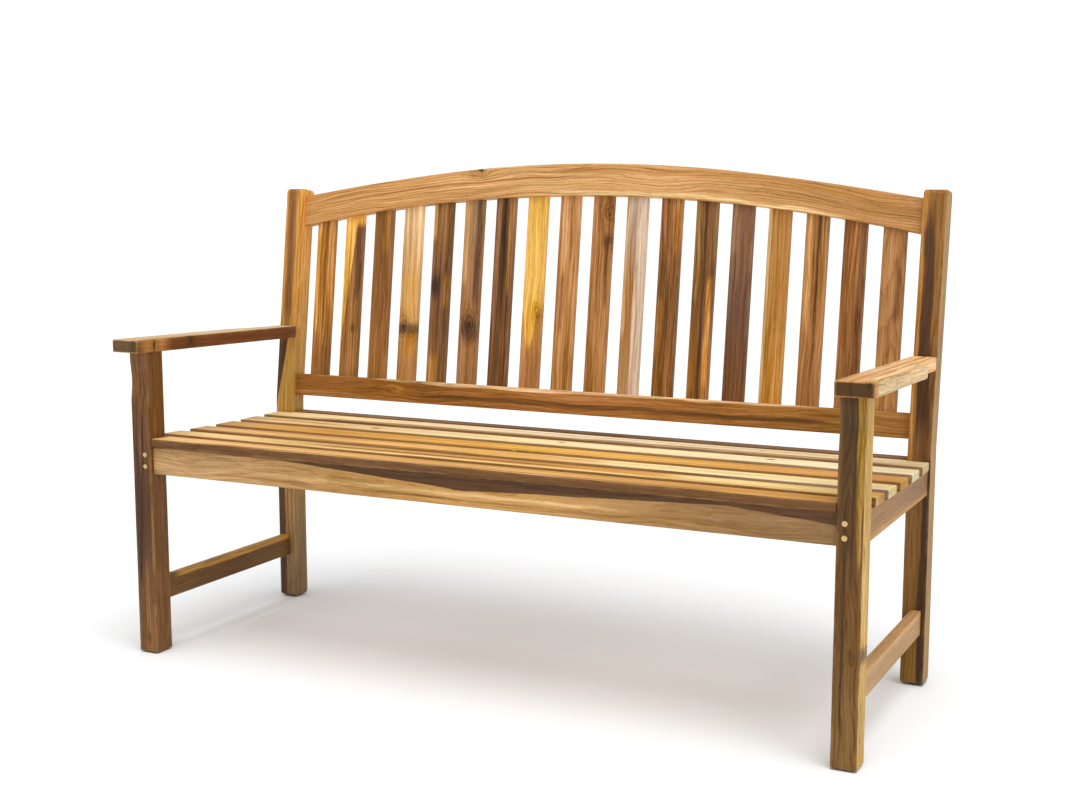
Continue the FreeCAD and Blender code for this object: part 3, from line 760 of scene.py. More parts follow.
@dataclass(frozen=True)
class Band:
    """A band of another colour. Lengths along are shares of the board, the rest is in millimetres.

    Attributes:
        colour: Hexadecimal sRGB colour.
        across: Middle of the band from the board's middle line, where it starts.
        width: Half width where it starts.
        start: Share of the length where it starts.
        stop: Share of the length where it ends.
        end_width: Half width where it ends, or None for the same.
        end_across: Middle where it ends, or None for the same.
        fade: Share of the length over which it comes and goes.
        soft: Softness of its sides.
        wander: How far its sides wander.
        strength: How fully it covers.
    """

    colour: int
    across: float
    width: float
    start: float = -1.0
    stop: float = 2.0
    end_width: float | None = None
    end_across: float | None = None
    fade: float = 0.04
    soft: float = 2.5
    wander: float = 4.0
    strength: float = 1.0

    def inputs(self, length: float) -> dict[str, Feed]:
        """Works out what the band group is fed.

        Args:
            length: Length of the board in metres.

        Returns:
            The group's values by title.
        """
        run = max((self.stop - self.start) * length, MM)
        end_width = self.width if self.end_width is None else self.end_width
        end_across = self.across if self.end_across is None else self.end_across
        return {"Band": linear(self.colour), "Across": self.across * MM, "Width": self.width * MM,
                "Lean": (end_across - self.across) * MM / run, "Taper": (end_width - self.width) * MM / run,
                "From": self.start * length, "To": self.stop * length, "Fade": self.fade * length,
                "Softness": self.soft * MM, "Wander": self.wander * MM, "Strength": self.strength}


@dataclass(frozen=True)
class Knot:
    """A knot: its share of the length, distance across and size in millimetres."""

    along: float
    across: float
    size: float


@dataclass(frozen=True)
class Teak:
    """Finish of one oiled teak board.

    Attributes:
        start: Colour at the start of the board, its foot or left or front end.
        middle: Colour at half length.
        finish: Colour at the other end.
        bands: Bands of other colours.
        knots: Knots.
        contrast: Strength of the streaks.
        ring: Strength of the growth rings.
        spacing: Growth-ring spacing in millimetres.
        pith: Distance across and depth to the log's heart in millimetres.
        slope: How steeply the grain runs out, which draws cathedral arches.
        wander: How far the grain wanders, in millimetres.
        end_tone: Brightness of the end grain against the face.
    """

    start: int
    middle: int
    finish: int
    bands: tuple[Band, ...] = ()
    knots: tuple[Knot, ...] = ()
    contrast: float = 1.0
    ring: float = 0.14
    spacing: float = 7.0
    pith: tuple[float, float] = (60.0, 40.0)
    slope: float = 0.02
    wander: float = 9.0
    end_tone: float = 0.62

    BAND_SEED_STEP: ClassVar[float] = 3.7
    BUMP: ClassVar[tuple[float, float]] = (0.35, 0.5 * MM)
    OILED: ClassVar[dict[str, float]] = {"IOR": 1.46, "Specular IOR Level": 0.38}
    BLEND: ClassVar[tuple[float, float, float]] = (0.05, 0.5, 0.95)
    BLEND_STREAKS: ClassVar[float] = 0.22

    def material(self, name: str, length: float, seed: float, turn: Turn | None = None,
                 origin: Vector | None = None) -> bpy.types.Material:
        """Builds the board's material.

        Args:
            name: Name of the material.
            length: Length of the board in metres.
            seed: Number that makes the board's figure its own.
            turn: Directions along, across and through a node kept from the frame, or None
                for a board that carries its own places.
            origin: Start of the kept node's middle line.

        Returns:
            The material.
        """
        made, w = blank_material(name)
        straight = place = self.place(w, turn, origin)
        hearts: Feed = 0.0
        halos: Feed = 0.0
        for number, knot in enumerate(self.knots):
            bent = w.group(knot_group, {
                "Place": place, "Along": knot.along * length, "Across": knot.across * MM,
                "Size": knot.size * MM, "Seed": seed + number}).outputs
            place = bent["Place"]
            hearts, halos = w.math("MAXIMUM", hearts, bent["Heart"]), w.math("MAXIMUM", halos, bent["Halo"])
        grain = w.group(grain_group, {
            "Place": place, "Seed": seed, "Ring Spacing": self.spacing * MM,
            "Pith Across": self.pith[0] * MM, "Pith Depth": self.pith[1] * MM, "Slope": self.slope,
            "Wander": self.wander * MM}).outputs
        colour = self.ground(w, straight, length, grain["Streaks"])
        for number, band in enumerate(self.bands):
            colour = w.group(band_group, {"Base": colour, "Place": place, "Streaks": grain["Streaks"],
                                          "Seed": seed + self.BAND_SEED_STEP * number,
                                          **band.inputs(length)}).outputs[0]
        worn = w.group(edge_group, {"Worn": w.attribute(Attribute.WORN).outputs["Fac"], "Place": straight,
                                    "Seed": seed}).outputs[0]
        wood = dict(grain.items()) | {"Heart": hearts, "Worn": worn,
                                      "End Grain": w.attribute(Attribute.END).outputs["Fac"]}
        toned = w.group(toning_group, {**wood, "Base": colour, "Halo": halos, "Contrast": self.contrast,
                                       "Ring Strength": self.ring, "End Tone": self.end_tone})
        surface = w.group(surface_group, wood).outputs
        w.shade(toned.outputs[0], surface["Roughness"], surface["Height"], self.BUMP, self.OILED)
        return made

    @staticmethod
    def place(w: Wiring, turn: Turn | None, origin: Vector | None) -> Socket:
        """Gives each point's distance along, across and through the board.

        Args:
            w: The material's wiring.
            turn: Directions of a kept node, or None.
            origin: Start of a kept node's middle line.

        Returns:
            The vector socket.
        """
        if turn is None:
            return w.attribute(Attribute.PLACE).outputs["Vector"]
        coordinates = w.node("ShaderNodeTexCoord", {}).outputs["Object"]
        shifted = w.vector("SUBTRACT", coordinates, tuple(origin)).outputs[0]
        return w.combine(*(w.vector("DOT_PRODUCT", shifted, tuple(way)).outputs["Value"] for way in turn))

    def ground(self, w: Wiring, place: Socket, length: float, streaks: Socket) -> Socket:
        """Colour that changes along the board.

        Args:
            w: The material's wiring.
            place: The place vector.
            length: Length of the board in metres.
            streaks: The grain's streaks, which break up the change.

        Returns:
            The colour socket.
        """
        along = w.math("DIVIDE", w.split(place)[0], length)
        along = w.add(along, w.swing(streaks, self.BLEND_STREAKS))
        low, middle, high = self.BLEND
        first = w.mix(w.step(along, low, middle), linear(self.start), linear(self.middle))
        return w.mix(w.step(along, middle, high), first, linear(self.finish))


# The back slats from left to right, each from its foot up.
BACK_SLATS = (
    Teak(
        0x915D18, 0xBD7E2C, 0xB57826,
        (Band(0xCF9231, -17, 6, 0.3, 1.2, soft=3), Band(0x845519, 4, 2, -1, 2)),
        contrast=1.89),
    Teak(
        0xA16E33, 0xA97439, 0x844C28,
        (Band(0xF9BD5A, -22.5, 3, 0.22, 1.0, end_width=33, soft=2, wander=5),
         Band(0xF9B956, 0, 30, 0.94, 2, fade=0.03), Band(0x744B2B, 16, 5, 0.5, 0.9)),
        (Knot(0.31, 11, 5),), contrast=1.4),
    Teak(0x9A6627, 0x8B5820, 0x875723, (Band(0xA8702C, 10, 8, 0.75, 1.2),), contrast=1.45),
    Teak(
        0xB47E43, 0xD6A35F, 0xF0C590,
        (Band(0xC1832F, 8, 13, 0.14, 0.28, fade=0.03), Band(0xDEA556, 2, 8, 0.4, 0.62, soft=5),
         Band(0x5E3C1D, -4, 26, 0.27, 0.33, fade=0.02, soft=4, strength=0.75)),
        (Knot(0.315, -10, 12), Knot(0.27, 10, 8)), contrast=0.9),
    Teak(
        0x895C2D, 0x754B2B, 0x885A1F,
        (Band(0xB98034, -8, 9, -0.1, 0.15, soft=4), Band(0xAC752B, 17, 6, 0.42, 0.6),
         Band(0xC48E49, -19, 5, 0.8, 1.2), Band(0x4C321B, -10, 9, 0.47, 0.6, soft=4)),
        (Knot(0.54, -12, 6),), contrast=1.5),
    Teak(
        0x9E6D3A, 0x9A6939, 0x9D7440,
        (Band(0xC09055, -16, 6, 0.55, 1.2), Band(0x684732, 12, 6, 0.45, 1.0, soft=4),
         Band(0x654124, 4, 16, 0.24, 0.36, soft=6, fade=0.05)),
        (Knot(0.33, 2, 14),), contrast=1.4),
    Teak(
        0x784B1A, 0x7A4C21, 0x8C5E31,
        (Band(0x9A6B30, 16, 4, 0.5, 1.2), Band(0x623F1A, -2, 5, -1, 2)),
        contrast=1.89, wander=4),
    Teak(
        0xB17945, 0xCB9043, 0xF9C05E,
        (Band(0xF5BF5E, 0, 30, 0.42, 2, fade=0.05, soft=6),
         Band(0xF4B84E, -3, 5, 0.22, 0.45, end_width=20, soft=2)),
        (Knot(0.4, 13, 9),), contrast=0.8),
    Teak(0xAA7535, 0xBD844A, 0xCD955F, (Band(0x915E31, -8, 4, 0.3, 0.6),), contrast=1.16),
    Teak(
        0xAA7339, 0xAE793F, 0xB77C46,
        (Band(0x825228, 14, 4, 0.45, 0.8, soft=2), Band(0x905E30, -4, 3, 0.4, 1)),
        (Knot(0.9, 16, 13), Knot(0.77, 17, 8)), contrast=1.4),
    Teak(
        0xB48955, 0xA66D2F, 0xBB9F87,
        (Band(0xD9BDA3, 16, 12.5, -0.2, 1.2, end_width=15, soft=1.5, wander=2),
         Band(0xCAA16E, -19, 4, 0.3, 1.2)),
        contrast=0.87),
    Teak(
        0x915A1A, 0x7B4D18, 0x9D6531,
        (Band(0xB77A31, 15, 7, 0.72, 1.2), Band(0xA66F2D, -15, 5, -0.2, 0.5)),
        contrast=2.03),
    Teak(
        0x9D6621, 0x774913, 0x865C2D,
        (Band(0xC68630, 14, 5, 0.08, 0.6), Band(0x5D3711, 1, 4, -1, 2),
         Band(0x9C722F, -17, 4, 0.5, 1.2)),
        contrast=1.74),
    Teak(0x70431A, 0x69452E, 0x815839, (Band(0x906A44, -14, 7, 0.75, 1.2, soft=5),), contrast=1.01),
    Teak(
        0xBB7F2C, 0xAF772E, 0xB37C3B,
        (Band(0xD6AE75, -20, 4.5, -0.2, 1.2, end_width=5.5, soft=1.2, wander=1.5),),
        contrast=1.16),
    Teak(
        0x946026, 0xA46E33, 0xAD793F,
        (Band(0xC08B45, -12, 3, 0.4, 1.1), Band(0x7F5022, 6, 3, -1, 2)),
        contrast=1.59),
    Teak(
        0x885926, 0x956028, 0x975F2A,
        (Band(0xBC8340, -8, 1.2, 0.5, 1.1, end_across=4, soft=1), Band(0x73461E, 15, 5, 0.2, 1.1)),
        (Knot(0.5, 17, 5), Knot(0.44, 18, 5)), contrast=1.5),
    Teak(
        0xB27F46, 0xAC7946, 0xAD7943,
        (Band(0x8D5B2F, 12, 8, 0.5, 0.78, end_width=2, soft=3),),
        contrast=1.01, ring=0.2, spacing=8, pith=(2, 22), slope=0.1),
)

# Painted shade: a dark line over each seat slat's front face, which faces the gap in front of it, and a
# little of its arris.
SLAT_FRONT_SHADE = Band(0x7E5228, -29.4, 1.3, soft=0.5, wander=0.4, strength=0.85)

# The seat slats from front to back, each from left to right.
SEAT_SLATS = (
    Teak(
        0xE9B570, 0xDFAB61, 0xCB9144,
        (Band(0xA87435, -23, 8, 0.1, 0.85, soft=4), Band(0xF0CA86, -27, 1.2, 0.2, 0.8, soft=0.8),
         # Painted shade: the dark band at -29.4 mm darkens this slat's shaded front face.
         Band(0x6E4820, -29.4, 1.3, soft=0.5, wander=0.4), Band(0xC98F49, 14, 3, 0.1, 0.9, soft=2)),
        contrast=0.7),
    Teak(
        0xEBC17F, 0xCA944A, 0xDCA45B,
        (Band(0x8B5826, 0, 5, 0.25, 0.62, soft=3), Band(0xEEC87F, -22, 7, -0.1, 1.1, soft=2),
         Band(0xD59441, 10, 14, 0.6, 0.76, soft=4), Band(0xF5D38C, 8, 22, 0.76, 0.97), SLAT_FRONT_SHADE),
        contrast=0.8),
    Teak(
        0xE0B06B, 0xE5B05B, 0xFFF7D7,
        (Band(0xFBE3A2, 4, 26, 0.64, 2, fade=0.03, soft=3), Band(0x9C6E3A, -24, 4, -0.1, 0.45, soft=2),
         Band(0xCB914D, 12, 2, 0.05, 0.62, soft=1.5), SLAT_FRONT_SHADE),
        contrast=0.7),
    Teak(
        0xD69F52, 0xEAB44F, 0xDFA256,
        (Band(0xCA852E, 6, 7, 0.15, 0.45, soft=4), Band(0xBA7C34, -18, 2, 0.1, 0.95, soft=1.5),
         SLAT_FRONT_SHADE),
        (Knot(0.49, -22, 4),), contrast=0.7, ring=0.1),
    Teak(
        0xE5BF84, 0xF6DEA8, 0xFAECBF,
        (Band(0xAA8252, 2, 6, -0.1, 0.17, soft=4),
         Band(0xBA8D52, -3, 7, 0.22, 0.235, fade=0.006, soft=3),
         Band(0xC99F65, 8, 6, 0.515, 0.525, fade=0.006, soft=3),
         Band(0xC99F65, 9, 6, 0.81, 0.82, fade=0.006, soft=3), SLAT_FRONT_SHADE),
        (Knot(0.228, -3, 3), Knot(0.52, 8, 3), Knot(0.815, 9, 3)), contrast=0.5, ring=0.07),
    Teak(
        0xF9D89D, 0xF7E2BC, 0xF0D8A5,
        (Band(0xB18F62, -23, 8, 0.1, 0.97, soft=4, wander=9), Band(0xDAB481, 10, 2, 0.3, 0.9, soft=1.5),
         SLAT_FRONT_SHADE),
        contrast=0.6, ring=0.08),
)

# Rails from left to right, legs and posts from the foot up, arms and side rails from the front.
TOP_RAIL = Teak(
    0xD29959, 0xE0AC6F, 0xBF8A51,
    (Band(0xF2CC8E, -28, 4, 0.45, 0.88, soft=2.5, wander=9), Band(0xC28949, 20, 6, 0.45, 0.95, soft=4),
     Band(0xBA7D47, 6, 2, 0.02, 0.5, soft=2)),
    (Knot(0.32, 30, 12),), contrast=0.75, ring=0.3, spacing=5.5, pith=(70.0, 14.0), slope=0.012,
    wander=14.0)
LOWER_RAIL = Teak(
    0x9B6423, 0xA46828, 0x9E6B2A,
    (Band(0xE0B987, 24, 2, 0.16, 0.3, end_width=8, soft=1, wander=6, fade=0.03),
     Band(0xE0B987, 24, 8, 0.29, 0.52, end_width=6, soft=1, wander=6, fade=0.01),
     Band(0xE0B987, 24, 6, 0.51, 0.86, end_width=2, soft=1, wander=6, fade=0.02),
     Band(0x704715, -6, 5, 0.25, 0.9, soft=3, wander=8),
     Band(0xC98E42, 2, 8, 0.165, 0.2, fade=0.012, soft=5)),
    (Knot(0.18, 0, 8),), contrast=1.1, ring=0.2, spacing=5.0, pith=(30.0, 30.0), slope=0.02, wander=14.0)
APRON = Teak(
    0xC29865, 0xCE9954, 0x926D41,
    (Band(0x5B3A1A, 29, 2, 0.2, 0.51, end_width=28, soft=0.8, wander=2, fade=0.01),
     Band(0x5B3A1A, 29, 28, 0.49, 0.88, end_width=7, soft=0.8, wander=2, fade=0.004),
     Band(0x5B3A1A, 29, 7, 0.86, 1.2, end_width=50, soft=0.8, wander=2, fade=0.004),
     Band(0x8F6433, 29, 4, -1, 0.3, soft=1.5), Band(0xDFB577, -6, 3, 0.2, 0.7, soft=3),
     Band(0xA97B43, -16, 2, 0.1, 0.9, soft=2)),
    contrast=0.8, ring=0.16, spacing=7.0, pith=(10.0, 24.0), slope=0.012, wander=18.0)
FRONT_LEG_LEFT = Teak(
    0x795129, 0x512E0F, 0x80542C,
    (Band(0x774D1F, 22.5, 3, soft=1), Band(0x935F2A, 4, 8, 0.0, 0.3, end_width=2, soft=3),
     Band(0x3E230D, -10, 3, 0.25, 0.8, end_across=6, soft=2), Band(0x8D5F31, -12, 8, 0.85, 1.2)),
    (Knot(0.05, 2, 6),), contrast=1.1, ring=0.22, spacing=6.0, pith=(30.0, -30.0), slope=0.05,
    wander=14.0, end_tone=0.7)
FRONT_LEG_RIGHT = Teak(
    0x7D5825, 0x664008, 0x583A0C,
    (Band(0x9F7829, 15, 2, 0.55, 1.1, end_width=12, soft=1.2),
     Band(0x3D2604, 4, 2, 0.5, 1.1, end_across=8, soft=1.5), Band(0x3F2706, -8, 2, 0.1, 0.7, soft=2),
     Band(0xC59A49, 23.2, 1.4, soft=0.5, wander=0.3)),
    (Knot(0.31, 10, 6),), contrast=1.0, ring=0.34, spacing=7.0, pith=(0.0, -26.0), slope=0.09,
    wander=14.0, end_tone=0.7)
POST_LEFT = Teak(
    0x876943, 0xBF9242, 0xDF9D45,
    (Band(0x553517, -18, 14, -0.2, 0.42, soft=1.5),
     # Painted shade: this dark wedge, widening up to the arm's underside, stands for the arm's shade on the
     # post.
     Band(0x553517, -20, 2, 0.48, 0.66, end_width=24, soft=1.5),
     Band(0x8D5B28, -2, 12, 0.68, 1.2, soft=5)),
    contrast=1.0, ring=0.2, spacing=7.0, pith=(50.0, 30.0), slope=0.03, wander=14.0)
POST_RIGHT = Teak(
    0x825A19, 0x7A5125, 0x8D5E26,
    (Band(0x422705, 19, 11, -0.2, 0.46, soft=1.5), Band(0xB47A33, -18, 6, 0.45, 1.2, soft=1.5),
     Band(0x503011, 2, 13, 0.52, 0.95, end_across=-6, end_width=8, soft=3),
     Band(0xA0773E, 23.2, 1.4, soft=0.5, wander=0.3)),
    contrast=1.1, ring=0.2, spacing=6.0, pith=(50.0, 30.0), slope=0.03, wander=14.0)
ARM_LEFT = Teak(
    0xD5AD7C, 0xD0B083, 0xCFB083,
    (Band(0x713F0E, 33.6, 3, soft=0.8, wander=1), Band(0xB38856, 22, 9, -0.2, 0.6, end_width=2, soft=5),
     Band(0xB47E44, 33.6, 2.6, 0.03, 0.16, soft=2)),
    (Knot(0.09, 33, 6), Knot(0.3, 34, 5)), contrast=0.7, ring=0.12, spacing=8.0, pith=(20.0, -40.0),
    slope=0.02, wander=12.0, end_tone=0.2)
ARM_RIGHT = Teak(
    0xCF995E, 0xE1B682, 0xEDBC7E,
    (Band(0xEECC90, 20, 5, 0.1, 0.7), Band(0xB77F48, -6, 3, -0.1, 1.1, soft=2),
     Band(0xB77F48, 10, 2, 0.2, 1.1, soft=1.5), Band(0xDEBE8A, 33.6, 1.6, soft=0.8)),
    (Knot(-0.005, 24, 9),), contrast=0.9, ring=0.22, spacing=6.0, pith=(10.0, -30.0), slope=0.03,
    wander=14.0, end_tone=0.12)
STRETCHER_LEFT = Teak(0x724F1F, 0x644010, 0x6D4B1A, (Band(0xBE8D3C, 20, 5, 0.1, 1.2, soft=2),))
STRETCHER_RIGHT = Teak(
    0xB48D5C, 0xAD844F, 0xB58D5A,
    (Band(0xC59860, 18, 4, -1, 2),),
    contrast=0.6, ring=0.12)
SIDE_RAIL_RIGHT = Teak(
    0x956B3A, 0x996D3B, 0x895D2C,
    (Band(0xB68543, -26, 8, -0.1, 1.1, soft=4),),
    contrast=0.7, ring=0.14)
SIDE_RAIL_LEFT = Teak(0xA27A4A, 0xA98458, 0x9A7448)
REAR_RAIL = Teak(0x8A6238, 0x7A5530, 0x845C34)
BEARER = Teak(0xA87C4C, 0xA27646, 0x9C7040)


@dataclass(frozen=True)
class PegWood:
    """Pale end-grain of the round pegs, with a dark glue line round each.

    Attributes:
        face: Main colour.
        heart: Colour of its specks and clouds.
        glue: Colour of the glue line.
    """

    face: int = 0xD8BC7C
    heart: int = 0xB9934E
    glue: int = 0x3A2716

    BUMP: ClassVar[tuple[float, float]] = (0.4, 0.2 * MM)
    CLOUD_SHARE: ClassVar[float] = 0.6
    SPECK_SHARE: ClassVar[float] = 0.25
    ROUGHNESS: ClassVar[float] = 0.5
    ROUGHNESS_SPREAD: ClassVar[float] = 0.15
    SPECK_SEED: ClassVar[float] = 3.0
    CLOUD_SEED: ClassVar[float] = 8.0

    def material(self) -> bpy.types.Material:
        """Builds the peg material.

        Returns:
            The material.
        """
        made, w = blank_material("pale_peg_wood")
        place = w.attribute(Attribute.PLACE).outputs["Vector"]
        specks = w.figure(Figure.PEG_SPECKS, place, self.SPECK_SEED)
        cloud = w.figure(Figure.PEG_CLOUD, place, self.CLOUD_SEED)
        colour = w.mix(w.times(cloud, self.CLOUD_SHARE), linear(self.face), linear(self.heart))
        colour = w.mix(w.times(specks, self.SPECK_SHARE), colour, linear(self.heart))
        colour = w.mix(w.attribute(Attribute.GLUE).outputs["Fac"], colour, linear(self.glue))
        rough = w.add(self.ROUGHNESS, w.times(specks, self.ROUGHNESS_SPREAD))
        w.shade(colour, rough, specks, self.BUMP, {})
        return made


@dataclass(frozen=True)
class PlainStock:
    """Finish of a small plain part: steel, dowel wood or moulded plastic.

    Attributes:
        name: Name of the material.
        colour: Main colour.
        second: Colour it varies towards.
        roughness: Lowest roughness.
        spread: How far roughness varies.
        metallic: 1 for metal, 0 for the rest.
        grain: Waves per metre along the part's upright axis and across it.
    """

    name: str
    colour: int
    second: int
    roughness: float
    spread: float
    metallic: float
    grain: tuple[float, float]

    BUMP: ClassVar[tuple[float, float]] = (0.25, 0.2 * MM)
    LINE_SEED: ClassVar[float] = 5.0
    LINE_DETAIL: ClassVar[float] = 3.0
    CLOUD_SEED: ClassVar[float] = 2.0

    def material(self) -> bpy.types.Material:
        """Builds the material.

        Returns:
            The material.
        """
        made, w = blank_material(self.name)
        place = w.node("ShaderNodeTexCoord", {}).outputs["Object"]
        along, across = self.grain
        scaled = w.vector("MULTIPLY", place, (across, across, along)).outputs[0]
        lines = w.noise(scaled, self.LINE_SEED, self.LINE_DETAIL)
        cloud = w.figure(Figure.STOCK_CLOUD, place, self.CLOUD_SEED)
        colour = w.mix(w.times(w.add(lines, cloud), 0.5), linear(self.colour), linear(self.second))
        rough = w.add(self.roughness, w.times(cloud, self.spread))
        w.shade(colour, rough, lines, self.BUMP, {"Metallic": self.metallic})
        return made


STEEL = PlainStock("stainless_steel", 0xB9BABC, 0x8E9093, 0.28, 0.2, 1.0, (400.0, 900.0))
BEECH = PlainStock("dowel_beech", 0xD6B483, 0xB98F5C, 0.55, 0.15, 0.0, (30.0, 900.0))
GLIDE_PLASTIC = PlainStock("dark_glide_plastic", 0x2A2724, 0x171513, 0.5, 0.2, 0.0, (900.0, 900.0))


# ---- Sub-assemblies --------------------------------------------------------------------
@dataclass
class SubAssembly:
    """Shared steps of a sub-assembly's pieces."""

    pieces: list[bpy.types.Object] = field(default_factory=list)

    def dress(self, board: Board, teak: Teak, seed: float, node: str, slot: str = "teak_frame") -> None:
        """Builds a board, gives it its finish and puts it in place of its node.

        Args:
            board: The board to build.
            teak: Its finish.
            seed: Number that makes its figure its own.
            node: Node that it stands for.
            slot: Material slot that its finish comes from.
        """
        length = board.stations[-1].along - board.stations[0].along
        self.place(board.build(), teak.material(f"teak_{board.name}", length, seed), slot, node)

    def place(self, piece: bpy.types.Object, material: bpy.types.Material, slot: str, node: str) -> None:
        """Gives a new piece its material and fixes it to the bench in place of its node.

        Args:
            piece: The piece.
            material: Its material.
            slot: Material slot that the finish comes from; not used.
            node: Node that it stands for.
        """
        piece.data.materials.append(material)
        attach(piece, "root")
        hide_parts(node)
        self.pieces.append(piece)

    def keep(self, node: str, material: bpy.types.Material) -> None:
        """Gives a node kept from the frame its finish.

        Args:
            node: Name of the node.
            material: Its material.
        """
        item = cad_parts[node]
        item.data.materials.clear()
        item.data.materials.append(material)
        self.pieces.append(item)

    def report(self, title: str) -> None:
        """Logs the pieces of the sub-assembly."""
        log.info("%s: %s", title, ", ".join(piece.name for piece in self.pieces))


@dataclass
class LegsAndPosts(SubAssembly):
    """Front legs with their scoops, rear posts with their knees, stretchers and glides. Sizes in mm.

    Attributes:
        scoop: Heights where the hollow under the arm starts, is deepest and ends, and its depth.
        knee_blend: Height over which the knee rounds.
        knee_lift: How far the rounding lifts the lean's start.
        square_from_z: Height from which the post's section turns square to the lean.
        glide: Radius and height of a glide.
    """

    inner_x: float = 705.0
    outer_x: float = 750.0
    leg_depth: float = 48.0
    post_depth: float = 46.0
    foot_z: float = 3.0
    leg_top_z: float = 623.2
    post_top_z: float = 944.0
    scoop: tuple[float, float, float, float] = (527.0, 566.0, 614.0, 4.0)
    knee_blend: float = 12.0
    knee_lift: float = 3.6
    square_from_z: float = 860.0
    stretcher_x: tuple[float, float] = (721.0, 741.0)
    stretcher_z: tuple[float, float] = (102.5, 150.0)
    glide: tuple[float, float] = (15.0, 3.0)

    ARRIS: ClassVar[float] = 2.5 * MM
    LEG_END: ClassVar[tuple[float, float]] = (2.0 * MM, 2.0 * MM)
    POST_END: ClassVar[tuple[float, float]] = (2.5 * MM, 8.0 * MM)
    LEG_STEP: ClassVar[float] = 30.0
    SCOOP_STEP: ClassVar[float] = 5.0
    POST_STEP: ClassVar[float] = 22.0
    STRETCHER_STEP: ClassVar[float] = 40.0
    # Numbers for the hand sanding and for the figure of the wood.
    LEG_SEEDS: ClassVar[tuple[float, float]] = (3.0, 11.0)
    POST_SEEDS: ClassVar[tuple[float, float]] = (5.0, 17.0)
    STRETCHER_SEEDS: ClassVar[tuple[float, float]] = (7.0, 23.0)

    @property
    def middle_x(self) -> float:
        """Distance of the legs' and posts' middles from the bench's middle."""
        return (self.inner_x + self.outer_x) / 2

    def scoop_depth(self, z: float) -> float:
        """Works out the depth of the hollow under the arm.

        Args:
            z: Height.

        Returns:
            The depth.
        """
        low, deep, high, depth = self.scoop
        if z <= low or z >= high:
            return 0.0
        if z < deep:
            return depth * math.sin(0.5 * math.pi * (z - low) / (deep - low))
        return depth * (1.0 - ease_step(z, deep, high))

    def leg(self, side: Side) -> Board:
        """Lofts a front leg, grain from the foot up.

        Args:
            side: Which leg.

        Returns:
            The board.
        """
        heights = sorted(set(evenly(self.foot_z, self.leg_top_z, self.LEG_STEP)
                             + evenly(self.scoop[0], self.scoop[2], self.SCOOP_STEP)))
        across = half(X_DIR, self.inner_x, self.outer_x)
        stations = []
        for z in heights:
            hollow = self.scoop_depth(z)
            middle = at(side.value * self.middle_x, (self.leg_depth + hollow) / 2, z)
            through = half(Y_DIR, hollow, self.leg_depth)
            stations.append(Station(middle, across, through, (z - self.foot_z) * MM))
        seed = side.value * self.LEG_SEEDS[0]
        return Board(f"leg_{side.word}", stations, self.ARRIS, self.LEG_END, seed)

    def post(self, side: Side) -> Board:
        """Lofts a rear post, grain from the foot up and along the lean.

        Args:
            side: Which post.

        Returns:
            The board.
        """
        half_run = self.post_depth / 2
        flat, tilted = Y_DIR * half_run, BACK_LEAN * (half_run * math.cos(LEAN))
        across = half(X_DIR, self.inner_x, self.outer_x)
        stations = []
        for z in evenly(self.foot_z, self.post_top_z, self.POST_STEP):
            lift = max(z - KNEE_Z, 0.0) + self.knee_lift * math.exp(-abs(z - KNEE_Z) / self.knee_blend)
            middle = at(side.value * self.middle_x, POST_FRONT_Y + half_run + lift * math.tan(LEAN), z)
            through = flat.lerp(tilted, ease_step(z, self.square_from_z, self.post_top_z)) * MM
            stations.append(Station(middle, across, through, (z - self.foot_z) * MM))
        seed = side.value * self.POST_SEEDS[0]
        return Board(f"post_{side.word}", stations, self.ARRIS, self.POST_END, seed)

    def stretcher(self, side: Side) -> Board:
        """Lofts the stretcher between leg and post, grain from front to back.

        Args:
            side: Which stretcher.

        Returns:
            The board.
        """
        x, z = side.value * sum(self.stretcher_x) / 2, sum(self.stretcher_z) / 2
        across, through = half(Z_DIR, *self.stretcher_z), half(X_DIR, *self.stretcher_x)
        stations = [Station(at(x, y, z), across, through, (y - self.leg_depth) * MM)
                    for y in evenly(self.leg_depth - TUCK, POST_FRONT_Y + TUCK, self.STRETCHER_STEP)]
        return Board(f"stretcher_{side.word}", stations, end=HIDDEN_END,
                     seed=side.value * self.STRETCHER_SEEDS[0])

    def glides(self) -> bpy.types.Object:
        """Turns the four thin moulded glides.

        Returns:
            The glides as one object.
        """
        radius, height = self.glide
        profile = [(radius - 1.2, 0, 0), (radius - 0.4, 0.3, 0), (radius, 1.1, 0),
                   (radius, height - 0.5, 0), (radius - 0.5, height, 0), (radius * 0.3, height, 0)]
        return joined("glides", [turned("glide", at(side.value * self.middle_x, y, 0), Z_DIR, profile)
                                 for side in Side
                                 for y in (self.leg_depth / 2, POST_FRONT_Y + self.post_depth / 2)])

    def build(self) -> None:
        """Builds and dresses every piece."""
        for side, leg, post, stretcher in ((Side.LEFT, FRONT_LEG_LEFT, POST_LEFT, STRETCHER_LEFT),
                                           (Side.RIGHT, FRONT_LEG_RIGHT, POST_RIGHT, STRETCHER_RIGHT)):
            for board, teak, seeds, node in (
                    (self.leg(side), leg, self.LEG_SEEDS, "front_leg"),
                    (self.post(side), post, self.POST_SEEDS, "rear_post"),
                    (self.stretcher(side), stretcher, self.STRETCHER_SEEDS, "stretcher")):
                self.dress(board, teak, seeds[1] + side.value, f"{node}_{side.word}")
        self.place(self.glides(), GLIDE_PLASTIC.material(), "dark_glide_plastic", "foot_glides")


